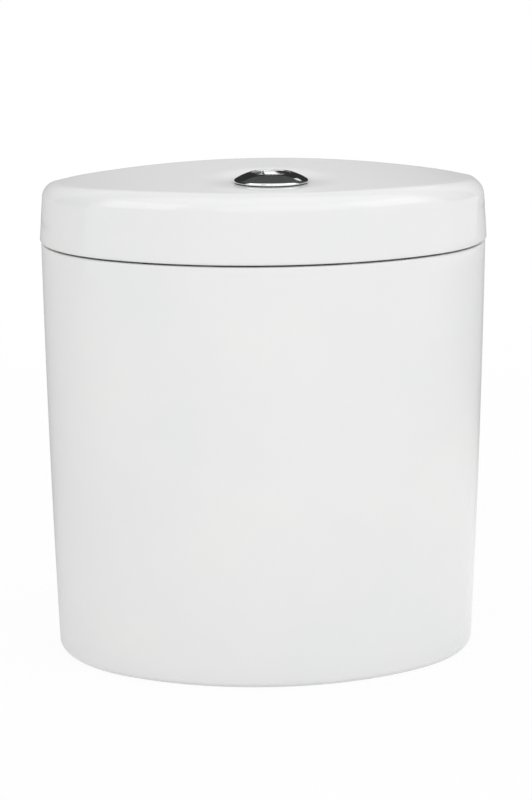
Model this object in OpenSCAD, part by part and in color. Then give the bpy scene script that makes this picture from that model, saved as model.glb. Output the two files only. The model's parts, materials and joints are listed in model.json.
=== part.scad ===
// Close-coupled toilet cistern: ceramic tank and lid, split push button,
// two-stage flush valve and bottom-entry fill valve.
// Millimetres. Origin at the middle of the footprint on the standing plane,
// front at -Y, wall side at +Y, up at +Z.

/* [Tank] */
// Width of the tank at its rim
tank_w = 370; // [345:1:400]
// Depth of the tank at its rim, from the front to the wall
tank_d = 173; // [168:1:200]
// Height of the tank, from the standing plane to its rim
tank_h = 346; // [340:1:390]
// How far each side draws in from the rim to the base
side_draw = 8.7; // [2:0.1:14]
// How far the front draws in from the rim to the base
front_draw = 5.6; // [0:0.1:9]
// Share of the draw that is a straight taper; the rest is a barrel curve
straight_share = 0.47; // [0:0.01:1]
// Distance behind the front at which the sides run straight
front_bow = 148; // [143:1:152]
// Radius of the front corners in plan at the rim
corner_r = 130.2; // [118:0.1:137]
// Radius of the upright edges at the back
back_r = 14; // [11:0.5:18]
// Wall of the tank
tank_wall = 9; // [7:0.5:10.5]
// Thickness of the base panel
base_t = 11; // [8:0.5:14]
// Depth of the skirt under the base panel
skirt_h = 30; // [26:1:40]
// Wall of the skirt at the standing plane
skirt_wall = 11; // [9:0.5:12.5]
// Radius along the bottom edge of the skirt
foot_edge_r = 6; // [3:0.5:7]
// Radius along the outer edge of the rim
rim_edge_r = 1.5; // [0.5:0.25:3]
// Radius where the inner walls meet the base panel
floor_r = 5; // [2:0.5:6]
// Width of the pipe opening in the back of the skirt
pipe_gap_w = 270; // [200:5:290]

/* [Lid] */
// How far the lid stands proud of the rim at the front and sides
lid_overhang = 1; // [0:0.25:3]
// How far the back of the lid stays inside the back of the tank
lid_back_in = 1; // [0.5:0.25:4]
// Gap between rim and lid, held open by the pads
seam_gap = 1.5; // [1:0.1:3]
// Height of the lid's top over the rim at the front
lid_front_h = 55.5; // [48:0.5:62]
// Height of the lid's top over the rim at the back
lid_back_h = 66.5; // [58:0.1:72]
// How far the top falls to its sides at the front
crown_front = 3; // [0:0.5:6]
// How far the top falls to its sides at the back
crown_back = 18.5; // [6:0.5:20]
// Radius along the top edge of the lid
lid_edge_r = 15; // [10:0.5:18]
// Radius along the middle of the top edge at the back
lid_back_edge_r = 5; // [3:0.5:8]
// How far the lid's sides lean in below that edge
lid_lean = 2.3; // [0.5:0.1:4]
// Radius along the bottom edge of the lid
lid_foot_r = 2; // [1:0.25:3]
// Wall of the lid's skirt
lid_wall = 10; // [8:0.5:12]
// Thickness of the lid's roof
roof_t = 9; // [7:0.5:11]
// Inner radius between skirt and roof
roof_r = 10; // [5:0.5:14]
// Thickness of a locating lug
lug_t = 6; // [4:0.5:8]
// Length of a locating lug
lug_l = 18; // [12:1:26]
// How far a lug reaches below the rim
lug_drop = 10; // [6:0.5:16]
// Room between a lug and the tank's wall
lug_gap = 2; // [1:0.25:3]
// Diameter of a lid pad
pad_d = 5; // [3:0.5:6]

/* [Push button] */
// Distance of the button and outlet axis behind the front of the rim
axis_depth = 64; // [62:0.5:72]
// Diameter of the bezel
bezel_d = 60; // [54:1:64]
// Height of the bezel over its gasket
bezel_h = 7.5; // [6:0.5:10]
// Height of the bezel's upright edge
bezel_edge_h = 2; // [1:0.25:3]
// Diameter of the button well in the bezel
well_d = 33.2; // [31:0.2:35]
// Width of the flat ring round the well
well_rim = 0.8; // [0.4:0.1:2]
// Wall of the bezel's threaded shank
shank_wall = 3.4; // [2.5:0.1:4]
// Length of the shank below the gasket
shank_l = 32; // [29:1:38]
// Room round the shank in the lid
shank_room = 1; // [0.5:0.25:2]
// Thickness of the bezel gasket
gasket_t = 1; // [0.5:0.25:2]
// How far the flat seat is sunk into the lid's slope
seat_sink = 1.4; // [0.5:0.1:2]
// Room round the bezel on the flat seat
seat_room = 3; // [2:0.5:5]
// Width over which the seat blends into the slope
seat_blend = 24; // [12:1:30]
// Depth of the boss under the lid, from the seat
boss_depth = 13; // [11:0.5:16]
// Height of the bezel nut
bezel_nut_h = 9; // [6:0.5:12]
// Width of the bezel nut's ring
bezel_nut_ring = 6.5; // [5:0.5:8]
// Room round the buttons in the well
button_room = 0.4; // [0.3:0.05:0.8]
// Place of the split between the buttons, from the axis
split_x = -6; // [-7:0.25:-5.5]
// Width of the split
split_gap = 0.8; // [0.6:0.1:1.2]
// How far the buttons lie below the bezel's rim
button_sink = 1.1; // [0.5:0.1:2]
// Depth of a button's skirt
button_h = 10; // [9:0.5:12]
// Thickness of a button's top and skirt
button_wall = 2; // [1.5:0.1:2.5]
// Depth of the dish across both buttons
dish_depth = 1.4; // [0.5:0.1:1.6]
// Travel of a button
press_travel = 6; // [4:0.25:7]
// Diameter of a push rod
rod_d = 5; // [4:0.25:5.5]
// Place of the full-flush rod, from the axis
full_x = 7; // [5.5:0.25:8.5]
// Place of the half-flush rod, from the axis
half_x = -10.5; // [-11:0.25:-10.25]
// Length of rod that is screwed into its button
rod_grip = 5; // [3:0.5:6]
// Diameter of the spring wire
wire_d = 1; // [0.6:0.1:1.1]
// Turns of a button spring
spring_turns = 5; // [3:1:7]
// Thickness of the carrier's web and flange
carrier_t = 4; // [3:0.5:5]

/* [Flush valve] */
// Wall of the threaded outlet tail
tail_wall = 5.5; // [4:0.25:6.5]
// Room round the outlet tail in the tank's hole
outlet_room = 2.5; // [1.5:0.25:4]
// Height of the tails' ends over the standing plane
tail_clear = 2; // [1:0.5:6]
// Width of the groove where a tail's free thread runs out under its nut
groove_w = 2; // [1:0.5:3]
// Depth of that groove
groove_depth = 1; // [0.5:0.25:1.5]
// Diameter of the flange inside the tank, which the whole flush valve follows
flange_d = 85; // [82.5:0.5:86]
// Thickness of the flange
flange_t = 4; // [3:0.5:6]
// Thickness of the base seal washers
washer_t = 3; // [2:0.5:5]
// Height of the outlet back nut
outlet_nut_h = 12; // [9:0.5:13]
// Width of the outlet back nut's ring
outlet_nut_ring = 8; // [6:0.5:9]
// Height of the valve seat over the flange
seat_h = 4; // [3.5:0.25:6]
// Width of the valve seat
seat_w = 3; // [2:0.25:3]
// Wall of the bayonet collar
collar_wall = 2.4; // [1.6:0.1:2.8]
// Height of the bayonet collar
collar_h = 10; // [6:0.5:14]
// Diameter of a cage post
post_d = 5.2; // [4:0.1:5.4]
// Height of the cage's deck over the standing plane
deck_z = 300; // [297:1:306]
// Thickness of the deck
deck_t = 4; // [3:0.5:6]
// Clearance of the full-flush sleeve inside the cage's posts
sleeve_clear = 3; // [2:0.25:4]
// Wall of the sleeve
sleeve_wall = 2; // [1.5:0.1:2.5]
// Height of the sleeve's rim over the standing plane: what a half flush leaves
sleeve_top_z = 150; // [130:1:160]
// Thickness of the moving seals
seal_t = 3; // [2:0.25:4]
// Clearance of the sleeve's keeper in the outlet's bore
keeper_room = 3; // [2:0.25:4.5]
// Wall of the overflow tube
overflow_wall = 2; // [1.2:0.1:2.4]
// Height of the overflow's mouth over the standing plane
overflow_z = 272; // [269:0.5:275]
// Running gap of the sleeve and the overflow tube in their guides
guide_gap = 0.5; // [0.3:0.05:0.8]

/* [Rockers] */
// Height of the rocker pin over the deck
pin_rise = 18; // [17:0.5:21]
// Diameter of the rocker pin
pin_d = 4; // [3:0.25:5]
// Arm from the pin to the push rod
press_arm = 20; // [18:0.5:24]
// Arm from the pin to the lifted bar
lift_arm = 40; // [36:0.5:44]
// Width of a rocker
rocker_w = 7; // [5:0.25:7.5]
// Diameter of the rocker's rounded noses
nose_d = 6; // [5:0.25:7]
// Gap at rest between a nose and what it works on
nose_gap = 0.4; // [0.3:0.05:0.8]
// Thickness of the lifting bars
bar_t = 4; // [3:0.25:5]
// Depth of a lifting bar's lower arm
bar_arm_h = 8; // [5:0.5:10]

/* [Fill valve] */
// Distance of the inlets from the tank's sides, at the rim
inlet_in = 73; // [67:1:81]
// Distance of the inlets from the wall
inlet_back = 65; // [58:1:70]
// Outer diameter of the threaded inlet tail
inlet_d = 20.9; // [18:0.1:21.5]
// Diameter of the inlet holes in the tank
inlet_hole_d = 23; // [22.2:0.1:26]
// Bore of the inlet tail
inlet_bore_d = 13; // [10:0.5:15]
// Diameter of the inlet flange
inlet_flange_d = 34; // [31:0.5:38]
// Height of the inlet back nuts
inlet_nut_h = 9; // [6:0.5:12]
// Width across the flats of the inlet back nuts
inlet_nut_w = 32; // [30:0.5:36]
// Outer diameter of the riser
riser_d = 18.8; // [16:0.2:20]
// Wall of the riser, the discharge tube and the riser's socket
riser_wall = 1.8; // [1.2:0.1:2.4]
// Gap between riser and discharge tube
flow_gap = 1.2; // [0.8:0.1:2]
// Height of the riser's socket
socket_h = 16; // [12:0.5:20]
// Height of the fill valve's body over the standing plane
fill_body_z = 246; // [240:1:256]
// Height of the fill valve's body
fill_body_h = 28; // [24:0.5:34]
// Diameter of the fill valve's body
fill_body_d = 30; // [28:0.5:33]
// Thickness of the diaphragm
diaphragm_t = 1.5; // [1:0.1:2]
// Thickness of the cap's top
cap_t = 4; // [3:0.5:6]
// Height of the arm's pin over the cap
arm_rise = 18; // [16:0.5:22]
// Distance of the arm's pin from the riser's axis
arm_back = 10; // [7:0.5:12]
// Arm from its pin to the float rod
arm_l = 32; // [30:0.5:36]
// Diameter of the arm's pin
arm_pin_d = 3; // [2.5:0.25:4]
// Travel of the float
float_travel = 10; // [6:0.5:12]
// Diameter of the float
float_d = 58; // [54:0.5:66]
// Height of the float
float_h = 55; // [40:1:70]
// Wall of the float
float_wall = 1.8; // [1.2:0.1:2.4]
// Diameter of the float rod
float_rod_d = 4; // [3:0.25:4.5]
// Running gap of the float on the discharge tube
float_gap = 0.5; // [0.3:0.05:1]

/* [Fixing] */
// Distance between the two holes for the bolts to the pan
bolt_spacing = 150; // [140:1:165]
// Diameter of those holes
bolt_hole_d = 15; // [12:0.5:18]
// Distance between the two screw holes in the back
screw_spacing = 200; // [160:5:240]
// Height of the screw holes over the standing plane
screw_z = 300; // [285:1:315]
// Diameter of the screw holes
screw_hole_d = 8; // [6:0.5:10]

/* [Hidden] */
$fn = 64;

// Overshoot of a cut past the face that it opens
cut = 1;
// Clearance of a screwed or pushed-in piece within one assembly
fit_gap = 0.1;
// Running clearance of a pin in a piece that turns on it
pin_gap = 0.08;
// Thickness shaved off the lofted tank so that its back, foot and rim are single planes
trim = 0.3;

// Steps along each part of the plan outline and round each lofted edge
front_steps = 10;
corner_steps = 12;
back_steps = 4;
lid_back_steps = 12;
edge_steps = 5;
foot_steps = 3;

// Places of the tank in the frame
tank_back = (tank_d + lid_overhang) / 2;
tank_front = tank_back - tank_d;
axis_y = tank_front + axis_depth;
floor_z = skirt_h + base_t;
front_arc_r = front_radius(tank_w / 2, front_bow, corner_r);

// Places of the lid
lid_w = tank_w + 2 * lid_overhang;
lid_front = tank_front - lid_overhang;
lid_back = tank_back - lid_back_in;
lid_bottom = tank_h + seam_gap;
seat_z = roof_z(0, axis_y) - seat_sink;
seat_r = bezel_d / 2 + seat_room;
back_edge_in = 8;
back_edge_blend = 28;
lug_root_h = 20;
lug_side_y = tank_front + front_bow;
lug_front_turn = 16;
pad_front_turn = 28;

// Places of the push button
bezel_z = seat_z + gasket_t;
well_r = well_d / 2;
shank_r = well_r + shank_wall;
lid_hole_r = shank_r + shank_room;
boss_z = seat_z - boss_depth;
boss_room = 2;
boss_r = shank_r + bezel_nut_ring + boss_room;
button_r = well_r - button_room;
button_top = bezel_z + bezel_h - button_sink;
button_bottom = button_top - button_h;
carrier_top = bezel_z - shank_l + carrier_t;
rod_r = rod_d / 2;
rod_boss_wall = 1.4;
rod_boss_r = rod_r + rod_boss_wall;
rod_top = button_bottom + rod_grip;
spring_room = 0.7;
spring_r = rod_r + wire_d + spring_room;

// Places of the flush valve
flange_z = floor_z + washer_t;
flange_top = flange_z + flange_t;
seat_top = flange_top + seat_h;
collar_in = 1.5;
collar_r = flange_d / 2 - collar_in;
cage_r = collar_r - collar_wall - 3 * fit_gap;
post_ring_r = cage_r - post_d / 2 - fit_gap;
sleeve_r = post_ring_r - post_d / 2 - sleeve_clear;
guide_r = sleeve_r + guide_gap;
seat_in = 3;
outlet_r = sleeve_r - seat_in - seat_w;
tail_r = outlet_r + tail_wall;
outlet_hole_r = tail_r + outlet_room;
foot_over = 2;
foot_top = flange_top + collar_h + foot_over;
post_pin_r = 1.5;
post_pin_h = 7;
post_eye = 2;
guide_h = 6;
band_t = 2;
sleeve_floor = seat_top + seal_t;
sleeve_floor_t = 3;
keeper_over = 2;
spigot_r = outlet_r - keeper_room - keeper_over;
spigot_wall = 3.5;
port_r = spigot_r - spigot_wall;
port_room = 2.5;
overflow_r = port_r - port_room;
seal_lip_w = 2.5;
seal_lip_h = 2;
lip_top = sleeve_floor + sleeve_floor_t + seal_lip_h;
overflow_foot = lip_top + seal_t;
overflow_foot_t = 3;
seal_over = 2;
overflow_seal_r = port_r + seal_lip_w + seal_over;
overflow_tail = 6;

// Places of the rockers
press_angle = press_travel / press_arm * 180 / PI;
lift_travel = lift_arm * sin(press_angle) - fit_gap;
pin_y = axis_y + press_arm;
pin_z = deck_z + deck_t + pin_rise;
lift_y = pin_y + lift_arm;
nose_r = nose_d / 2;
rod_foot = pin_z + nose_r + nose_gap;
hub_wall = 3.5;
hub_r = pin_d / 2 + hub_wall;
cheek_gap = 0.7;
cheek_t = 4;
cheek_half = 8;
bar_back = lift_y + nose_r + bar_t;
bar_over = 1;
bar_w = rocker_w + 2 * bar_over;
mouth_rise = 2;
overflow_arm_z = overflow_z - mouth_rise;

// Places of the fill valve
inlet_x = tank_w / 2 - inlet_in;
inlet_y = tank_back - inlet_back;
inlet_r = inlet_d / 2;
riser_r = riser_d / 2;
socket_thread = 1.2;
socket_r = riser_r + fit_gap + riser_wall + socket_thread;
socket_rise = 2;
socket_step = flange_top + socket_rise;
socket_top = flange_top + socket_h;
lock_lip = 3;
discharge_r = riser_r + flow_gap + riser_wall;
riser_grip = 12;
riser_top = fill_body_z + riser_grip;
body_r = fill_body_d / 2;
body_top = fill_body_z + fill_body_h;
cap_z = body_top + diaphragm_t;
cap_top = cap_z + cap_t;
arm_drop = float_travel / arm_l * 180 / PI;
arm_z = cap_top + arm_rise;
arm_t = 4;
arm_w = 10;
rod_off = arm_back - arm_l;
float_rod_r = float_rod_d / 2;
slot_room = 0.7;
collar_half = 4;
arm_end_z = arm_z - arm_l * tan(arm_drop);
collar_reach = arm_t / 2 / cos(arm_drop) + collar_half * tan(arm_drop) + nose_gap;
float_room = 6;
float_top = fill_body_z - float_travel - float_room;

// Radius of the front arc that runs smoothly into corner arcs of the given radius
function front_radius(half_w, bow, r) =
    (pow(half_w - r, 2) + bow * bow - r * r) / (2 * (bow - r));

// Plan outline: front arc, corner arcs, straight sides, rounded edges and a flat back
function plan(half_w, front, back, bow, r_corner, r_back, edge_steps_back = 1) =
    let (
        r_front = front_radius(half_w, bow, r_corner),
        turn = atan2(half_w - r_corner, r_front - bow),
        front_arc = [
            for (i = [0 : front_steps - 1])
                let (t = turn * i / front_steps)
                [r_front * sin(t), front + r_front * (1 - cos(t))]
        ],
        corner_arc = [
            for (i = [0 : corner_steps])
                let (t = turn + (90 - turn) * i / corner_steps)
                [half_w - r_corner * (1 - sin(t)), front + bow - r_corner * cos(t)]
        ],
        back_arc = [
            for (i = [0 : back_steps])
                let (t = 90 * i / back_steps)
                [half_w - r_back * (1 - cos(t)), back - r_back * (1 - sin(t))]
        ],
        back_edge = [
            for (i = [1 : edge_steps_back])
                [(half_w - r_back) * (1 - i / edge_steps_back), back]
        ],
        right = concat(front_arc, corner_arc, back_arc, back_edge),
        left = [for (i = [len(right) - 2 : -1 : 1]) [-right[i][0], right[i][1]]]
    )
    concat(right, left);

// Share of the draw reached at a height
function draw_share(z) =
    let (t = (tank_h - z) / tank_h)
    straight_share * t + (1 - straight_share) * t * t;

// Outline of the tank at a height, moved in by a wall
function tank_plan(z, inset, back_extra = 0) =
    let (side = side_draw * draw_share(z) + inset)
    plan(
        tank_w / 2 - side,
        tank_front + front_draw * draw_share(z) + inset,
        tank_back - inset + back_extra,
        front_bow - side,
        corner_r - side,
        max(back_r - inset, 1)
    );

// Outline of the lid, moved in by a wall
function lid_plan(inset) =
    plan(
        lid_w / 2 - inset,
        lid_front + inset,
        lid_back - inset,
        front_bow + lid_overhang - inset,
        corner_r + lid_overhang - inset,
        max(back_r - inset, 1),
        lid_back_steps
    );

// One level ring of a loft
function level(outline, z) = [for (p = outline) [p[0], p[1], z]];

// Sloping, crowned top of the lid
function roof_z(x, y) =
    let (
        v = (y - lid_front) / (lid_back - lid_front),
        rise = lid_front_h + (lid_back_h - lid_front_h) * v,
        crown = crown_front + (crown_back - crown_front) * v
    )
    tank_h + rise - crown * pow(x / (lid_w / 2), 2);

// The same top with the flat button seat blended in
function lid_top_z(x, y) =
    let (
        u = min(max((norm([x, y - axis_y]) - seat_r) / seat_blend, 0), 1),
        share = u * u * (3 - 2 * u)
    )
    seat_z + (roof_z(x, y) - seat_z) * share;

// Ring of the lid's top, a share of the way from the seat's edge to the lid's edge
function top_ring(edge, share) = [
    for (p = edge)
        let (
            reach = norm([p[0], p[1] - axis_y]),
            scale_to = (seat_r + (reach - seat_r) * share) / reach,
            x = p[0] * scale_to,
            y = axis_y + (p[1] - axis_y) * scale_to
        )
        [x, y, lid_top_z(x, y)]
];

// Solid through rings of equal length, closed flat or by a point at the top
module loft(rings, tip = []) {
    n = len(rings[0]);
    last = (len(rings) - 1) * n;
    sides = [
        for (k = [0 : len(rings) - 2], i = [0 : n - 1])
            let (a = k * n + i, b = k * n + (i + 1) % n)
            each [[a, a + n, b + n], [a, b + n, b]]
    ];
    foot = [[for (i = [0 : n - 1]) i]];
    head = len(tip) == 0
        ? [[for (i = [n - 1 : -1 : 0]) last + i]]
        : [for (i = [0 : n - 1]) [last + i, last + n, last + (i + 1) % n]];
    points = concat([for (r = rings) each r], len(tip) == 0 ? [] : [tip]);
    polyhedron(points, concat(sides, foot, head), convexity = 8);
}

// Upright tube between two heights
module tube(r_out, r_in, z0, z1) {
    difference() {
        translate([0, 0, z0]) cylinder(r = r_out, h = z1 - z0);
        translate([0, 0, z0 - cut]) cylinder(r = r_in, h = z1 - z0 + 2 * cut);
    }
}

// Groove round a tail, just under its back nut
module tail_groove(r, nut_h) {
    nut_low = skirt_h - nut_h;
    tube(r + cut, r - groove_depth, nut_low - groove_w, nut_low);
}

// Upright rod between two heights
module rod(r, z0, z1) {
    translate([0, 0, z0]) cylinder(r = r, h = z1 - z0);
}

// Box between two corners
module box(low, high) {
    translate(low) cube(high - low);
}

module at_axis() { translate([0, axis_y, 0]) children(); }
module at_inlet() { translate([inlet_x, inlet_y, 0]) children(); }
module at_plug() { translate([-inlet_x, inlet_y, 0]) children(); }

// Plate in the YZ plane, centred on a place along X
module upright_plate(x, w) {
    translate([x - w / 2, 0, 0]) rotate([90, 0, 90]) linear_extrude(w) children();
}

function tank_outside() = concat(
    [
        for (i = [0 : foot_steps])
            let (t = 90 * i / foot_steps, z = foot_edge_r * (1 - cos(t)) - trim)
            level(tank_plan(z, foot_edge_r * (1 - sin(t)), trim), z)
    ],
    [
        for (i = [1 : 8])
            let (z = foot_edge_r + (tank_h - rim_edge_r - foot_edge_r) * i / 8)
            level(tank_plan(z, 0, trim), z)
    ],
    [
        for (t = [45, 90])
            let (z = tank_h - rim_edge_r + (rim_edge_r + trim) * sin(t))
            level(tank_plan(z, rim_edge_r * (1 - cos(t)), trim), z)
    ]
);

function tank_inside() = concat(
    [
        for (i = [0 : foot_steps])
            let (t = 90 * i / foot_steps, z = floor_z + floor_r * (1 - cos(t)))
            level(tank_plan(z, tank_wall + floor_r * (1 - sin(t))), z)
    ],
    [
        for (i = [1 : 6])
            let (z = floor_z + floor_r + (tank_h + cut - floor_z - floor_r) * i / 6)
            level(tank_plan(z, tank_wall), z)
    ]
);

module tank() {
    color("white")
    difference() {
        intersection() {
            loft(tank_outside());
            box([-tank_w, tank_front - tank_d, 0], [tank_w, tank_back, tank_h]);
        }
        loft(tank_inside());
        loft([for (z = [-cut, skirt_h]) level(tank_plan(z, skirt_wall), z)]);
        box([-pipe_gap_w / 2, 0, -cut], [pipe_gap_w / 2, tank_back + cut, skirt_h]);
        at_axis() rod(outlet_hole_r, skirt_h - cut, floor_z + cut);
        at_inlet() rod(inlet_hole_d / 2, skirt_h - cut, floor_z + cut);
        at_plug() rod(inlet_hole_d / 2, skirt_h - cut, floor_z + cut);
        for (side = [-1, 1]) {
            translate([side * bolt_spacing / 2, axis_y, 0])
                rod(bolt_hole_d / 2, skirt_h - cut, floor_z + cut);
            translate([side * screw_spacing / 2, tank_back + cut, screw_z])
                rotate([90, 0, 0])
                cylinder(d = screw_hole_d, h = tank_wall + 2 * cut);
        }
    }
}

// Radius of the lid's top edge: all round the same, and smaller along the middle of the back
function top_edge_r(x, y) =
    let (
        u = min(max((lid_w / 2 - back_edge_in - abs(x)) / back_edge_blend, 0), 1),
        share = y > lid_back - corner_r / 2 ? u * u * (3 - 2 * u) : 0
    )
    lid_edge_r + (lid_back_edge_r - lid_edge_r) * share;

function lid_outside() =
    let (
        outer = lid_plan(lid_lean),
        inner = lid_plan(lid_lean + lid_edge_r),
        r = [for (p = outer) top_edge_r(p[0], p[1])],
        inward = [for (k = [0 : len(outer) - 1]) (inner[k] - outer[k]) * r[k] / lid_edge_r],
        brink = [for (k = [0 : len(outer) - 1]) outer[k] + inward[k]]
    )
    concat(
        [
            for (t = [0, 45, 90])
                level(lid_plan(lid_foot_r * (1 - sin(t))), lid_bottom + lid_foot_r * (1 - cos(t)))
        ],
        [
            for (i = [0 : edge_steps - 1])
                let (t = 90 * i / edge_steps)
                [
                    for (k = [0 : len(outer) - 1])
                        let (
                            p = outer[k] + inward[k] * (1 - cos(t)),
                            z = lid_top_z(brink[k][0], brink[k][1]) - r[k] * (1 - sin(t))
                        )
                        [p[0], p[1], z]
                ]
        ],
        [for (share = [1, 0.7, 0.4, 0.2, 0]) top_ring(brink, share)]
    );

function lid_inside() =
    let (edge = lid_plan(lid_wall + roof_r))
    concat(
        [level(lid_plan(lid_wall), lid_bottom - cut)],
        [
            for (t = [0, 45, 90])
                let (outline = lid_plan(lid_wall + roof_r * (1 - cos(t))))
                [
                    for (k = [0 : len(outline) - 1])
                        let (z = roof_z(edge[k][0], edge[k][1]) - roof_t - roof_r * (1 - sin(t)))
                        [outline[k][0], outline[k][1], z]
                ]
        ],
        [
            for (share = [0.6, 0.25])
                [
                    for (p = edge)
                        let (x = p[0] * share, y = axis_y + (p[1] - axis_y) * share)
                        [x, y, roof_z(x, y) - roof_t]
                ]
        ]
    );

// Lug that hangs inside the tank's wall; its outer face is at y = 0, the wall at -lug_gap
module lid_lug() {
    box([-lug_l / 2, 0, tank_h - lug_drop], [lug_l / 2, lug_t, lid_bottom + lug_root_h]);
    box(
        [-lug_l / 2, -lug_gap - lid_wall / 2, lid_bottom + cut],
        [lug_l / 2, lug_t / 2, lid_bottom + lug_root_h]
    );
}

module lid() {
    color("white")
    difference() {
        union() {
            difference() {
                loft(lid_outside(), [0, axis_y, seat_z]);
                loft(lid_inside(), [0, axis_y, roof_z(0, axis_y) - roof_t]);
            }
            at_axis() rod(boss_r, boss_z, seat_z - seat_sink);
            for (side = [-1, 1]) {
                translate([side * (tank_w / 2 - tank_wall - lug_gap), lug_side_y, 0])
                    rotate([0, 0, side * 90])
                    lid_lug();
                translate([0, tank_front + front_arc_r, 0])
                    rotate([0, 0, side * lug_front_turn])
                    translate([0, tank_wall + lug_gap - front_arc_r, 0])
                    lid_lug();
            }
        }
        at_axis() rod(lid_hole_r, boss_z - cut, seat_z + cut);
    }
}

module lid_pads() {
    rim_middle = (tank_wall + rim_edge_r) / 2;
    color("dimgray")
    for (side = [-1, 1]) {
        translate([side * (tank_w / 2 - rim_middle), tank_front + front_bow, 0])
            rod(pad_d / 2, tank_h, lid_bottom);
        translate([0, tank_front + front_arc_r, 0])
            rotate([0, 0, side * pad_front_turn])
            translate([0, rim_middle - front_arc_r, 0])
            rod(pad_d / 2, tank_h, lid_bottom);
    }
}

module button_bezel() {
    rim_r = well_r + well_rim;
    edge_r = bezel_d / 2;
    dome_z = (edge_r * edge_r - rim_r * rim_r + bezel_edge_h * bezel_edge_h - bezel_h * bezel_h)
        / (2 * (bezel_edge_h - bezel_h));
    dome_r = norm([edge_r, bezel_edge_h - dome_z]);
    color("silver")
    translate([0, axis_y, bezel_z])
    difference() {
        union() {
            intersection() {
                translate([0, 0, dome_z]) sphere(dome_r);
                rod(edge_r, 0, bezel_h);
            }
            rod(shank_r, -shank_l, bezel_edge_h);
        }
        rod(well_r, -shank_l - cut, bezel_h + cut);
    }
}

module bezel_gasket() {
    color("dimgray")
    at_axis()
    tube(bezel_d / 2 - gasket_t, shank_r + fit_gap, seat_z, bezel_z);
}

module bezel_nut() {
    nut_r = shank_r + bezel_nut_ring;
    low = boss_z - bezel_nut_h;
    flange_h = 3;
    grip_r = 2.5;
    color("whitesmoke")
    at_axis()
    difference() {
        rod(nut_r, low, boss_z);
        rod(shank_r + fit_gap, low - cut, boss_z + cut);
        for (turn = [0 : 45 : 315])
            rotate([0, 0, turn])
            translate([nut_r, 0, 0])
            rod(grip_r, low - cut, boss_z - flange_h);
    }
}

module button_carrier() {
    color("whitesmoke")
    at_axis()
    difference() {
        union() {
            rod(well_r - fit_gap, bezel_z - shank_l - cut, carrier_top);
            rod(shank_r, bezel_z - shank_l - carrier_t, bezel_z - shank_l);
        }
        for (x = [full_x, half_x])
            translate([x, 0, 0])
            rod(rod_r + guide_gap, bezel_z - shank_l - carrier_t - cut, carrier_top + cut);
    }
}

// One button, cut from the round of both, on the side of the split that its rod is on
module button(low_x, high_x, rod_x) {
    dish_r = (button_r * button_r + dish_depth * dish_depth) / (2 * dish_depth);
    hollow_top = button_top - dish_depth - button_wall;
    color("silver")
    at_axis()
    difference() {
        union() {
            intersection() {
                difference() {
                    rod(button_r, button_bottom, button_top);
                    intersection() {
                        rod(button_r - button_wall, button_bottom - cut, hollow_top);
                        box(
                            [low_x + button_wall, -button_r, button_bottom - cut],
                            [high_x - button_wall, button_r, button_top]
                        );
                    }
                }
                box(
                    [low_x, -button_r - cut, button_bottom - cut],
                    [high_x, button_r + cut, button_top + cut]
                );
            }
            translate([rod_x, 0, 0])
                rod(rod_boss_r, button_bottom, hollow_top + button_wall / 2);
        }
        translate([0, 0, button_top - dish_depth + dish_r])
            rotate([90, 0, 0])
            sphere(dish_r, $fn = 288);
        translate([rod_x, 0, 0]) rod(rod_r + fit_gap / 2, button_bottom - cut, rod_top);
    }
}

module full_flush_button() { button(split_x + split_gap / 2, button_r + cut, full_x); }
module half_flush_button() { button(-button_r - cut, split_x - split_gap / 2, half_x); }

module push_rod(x) {
    color("whitesmoke")
    translate([x, axis_y, 0])
    rod(rod_r, rod_foot, rod_top);
}

module full_push_rod() { push_rod(full_x); }
module half_push_rod() { push_rod(half_x); }

// Wire path of a button spring: an upright stub, a helix and an upright stub
curl_rings = 8;
wire_sides = 6;
spring_low = carrier_top + wire_d;
spring_high = button_bottom - wire_d;
spring_path = concat(
    [[spring_r, 0, carrier_top]],
    [
        for (i = [0 : spring_turns * curl_rings])
            let (t = 360 * i / curl_rings)
            [
                spring_r * cos(t),
                spring_r * sin(t),
                spring_low + (spring_high - spring_low) * i / (spring_turns * curl_rings)
            ]
    ],
    [[spring_r, 0, button_bottom]]
);
spring_gap = min([
    for (i = [0 : len(spring_path) - 1], j = [i + 1 : len(spring_path) - 1])
        if (j - i > curl_rings / 2)
            norm(spring_path[i] - spring_path[j]) - wire_d
]);
echo("least gap of a button spring to itself, mm", spring_gap);

// Ring of the wire round one point of the path
function wire_ring(i) =
    let (
        p = spring_path[i],
        along = spring_path[min(i + 1, len(spring_path) - 1)] - spring_path[max(i - 1, 0)],
        ahead = along / norm(along),
        out = [p[0], p[1], 0] / norm([p[0], p[1]]),
        side = cross(ahead, out)
    )
    [
        for (k = [0 : wire_sides - 1])
            let (t = 360 * k / wire_sides)
            p + wire_d / 2 * (out * cos(t) + side * sin(t))
    ];

module button_spring(x) {
    color("gray")
    translate([x, axis_y, 0])
    loft([for (i = [0 : len(spring_path) - 1]) wire_ring(i)]);
}

module full_button_spring() { button_spring(full_x); }
module half_button_spring() { button_spring(half_x); }

module valve_base() {
    color("whitesmoke")
    at_axis()
    difference() {
        union() {
            rod(tail_r, tail_clear, flange_top);
            rod(flange_d / 2, flange_z, flange_top);
            rod(outlet_r + seat_w, flange_z, seat_top);
            tube(collar_r, collar_r - collar_wall, flange_z + cut, flange_top + collar_h);
        }
        rod(outlet_r, tail_clear - cut, seat_top + cut);
        tail_groove(tail_r, outlet_nut_h);
    }
}

module base_seal_washer() {
    color("dimgray")
    at_axis()
    tube(flange_d / 2, tail_r + fit_gap, floor_z, flange_z);
}

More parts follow.
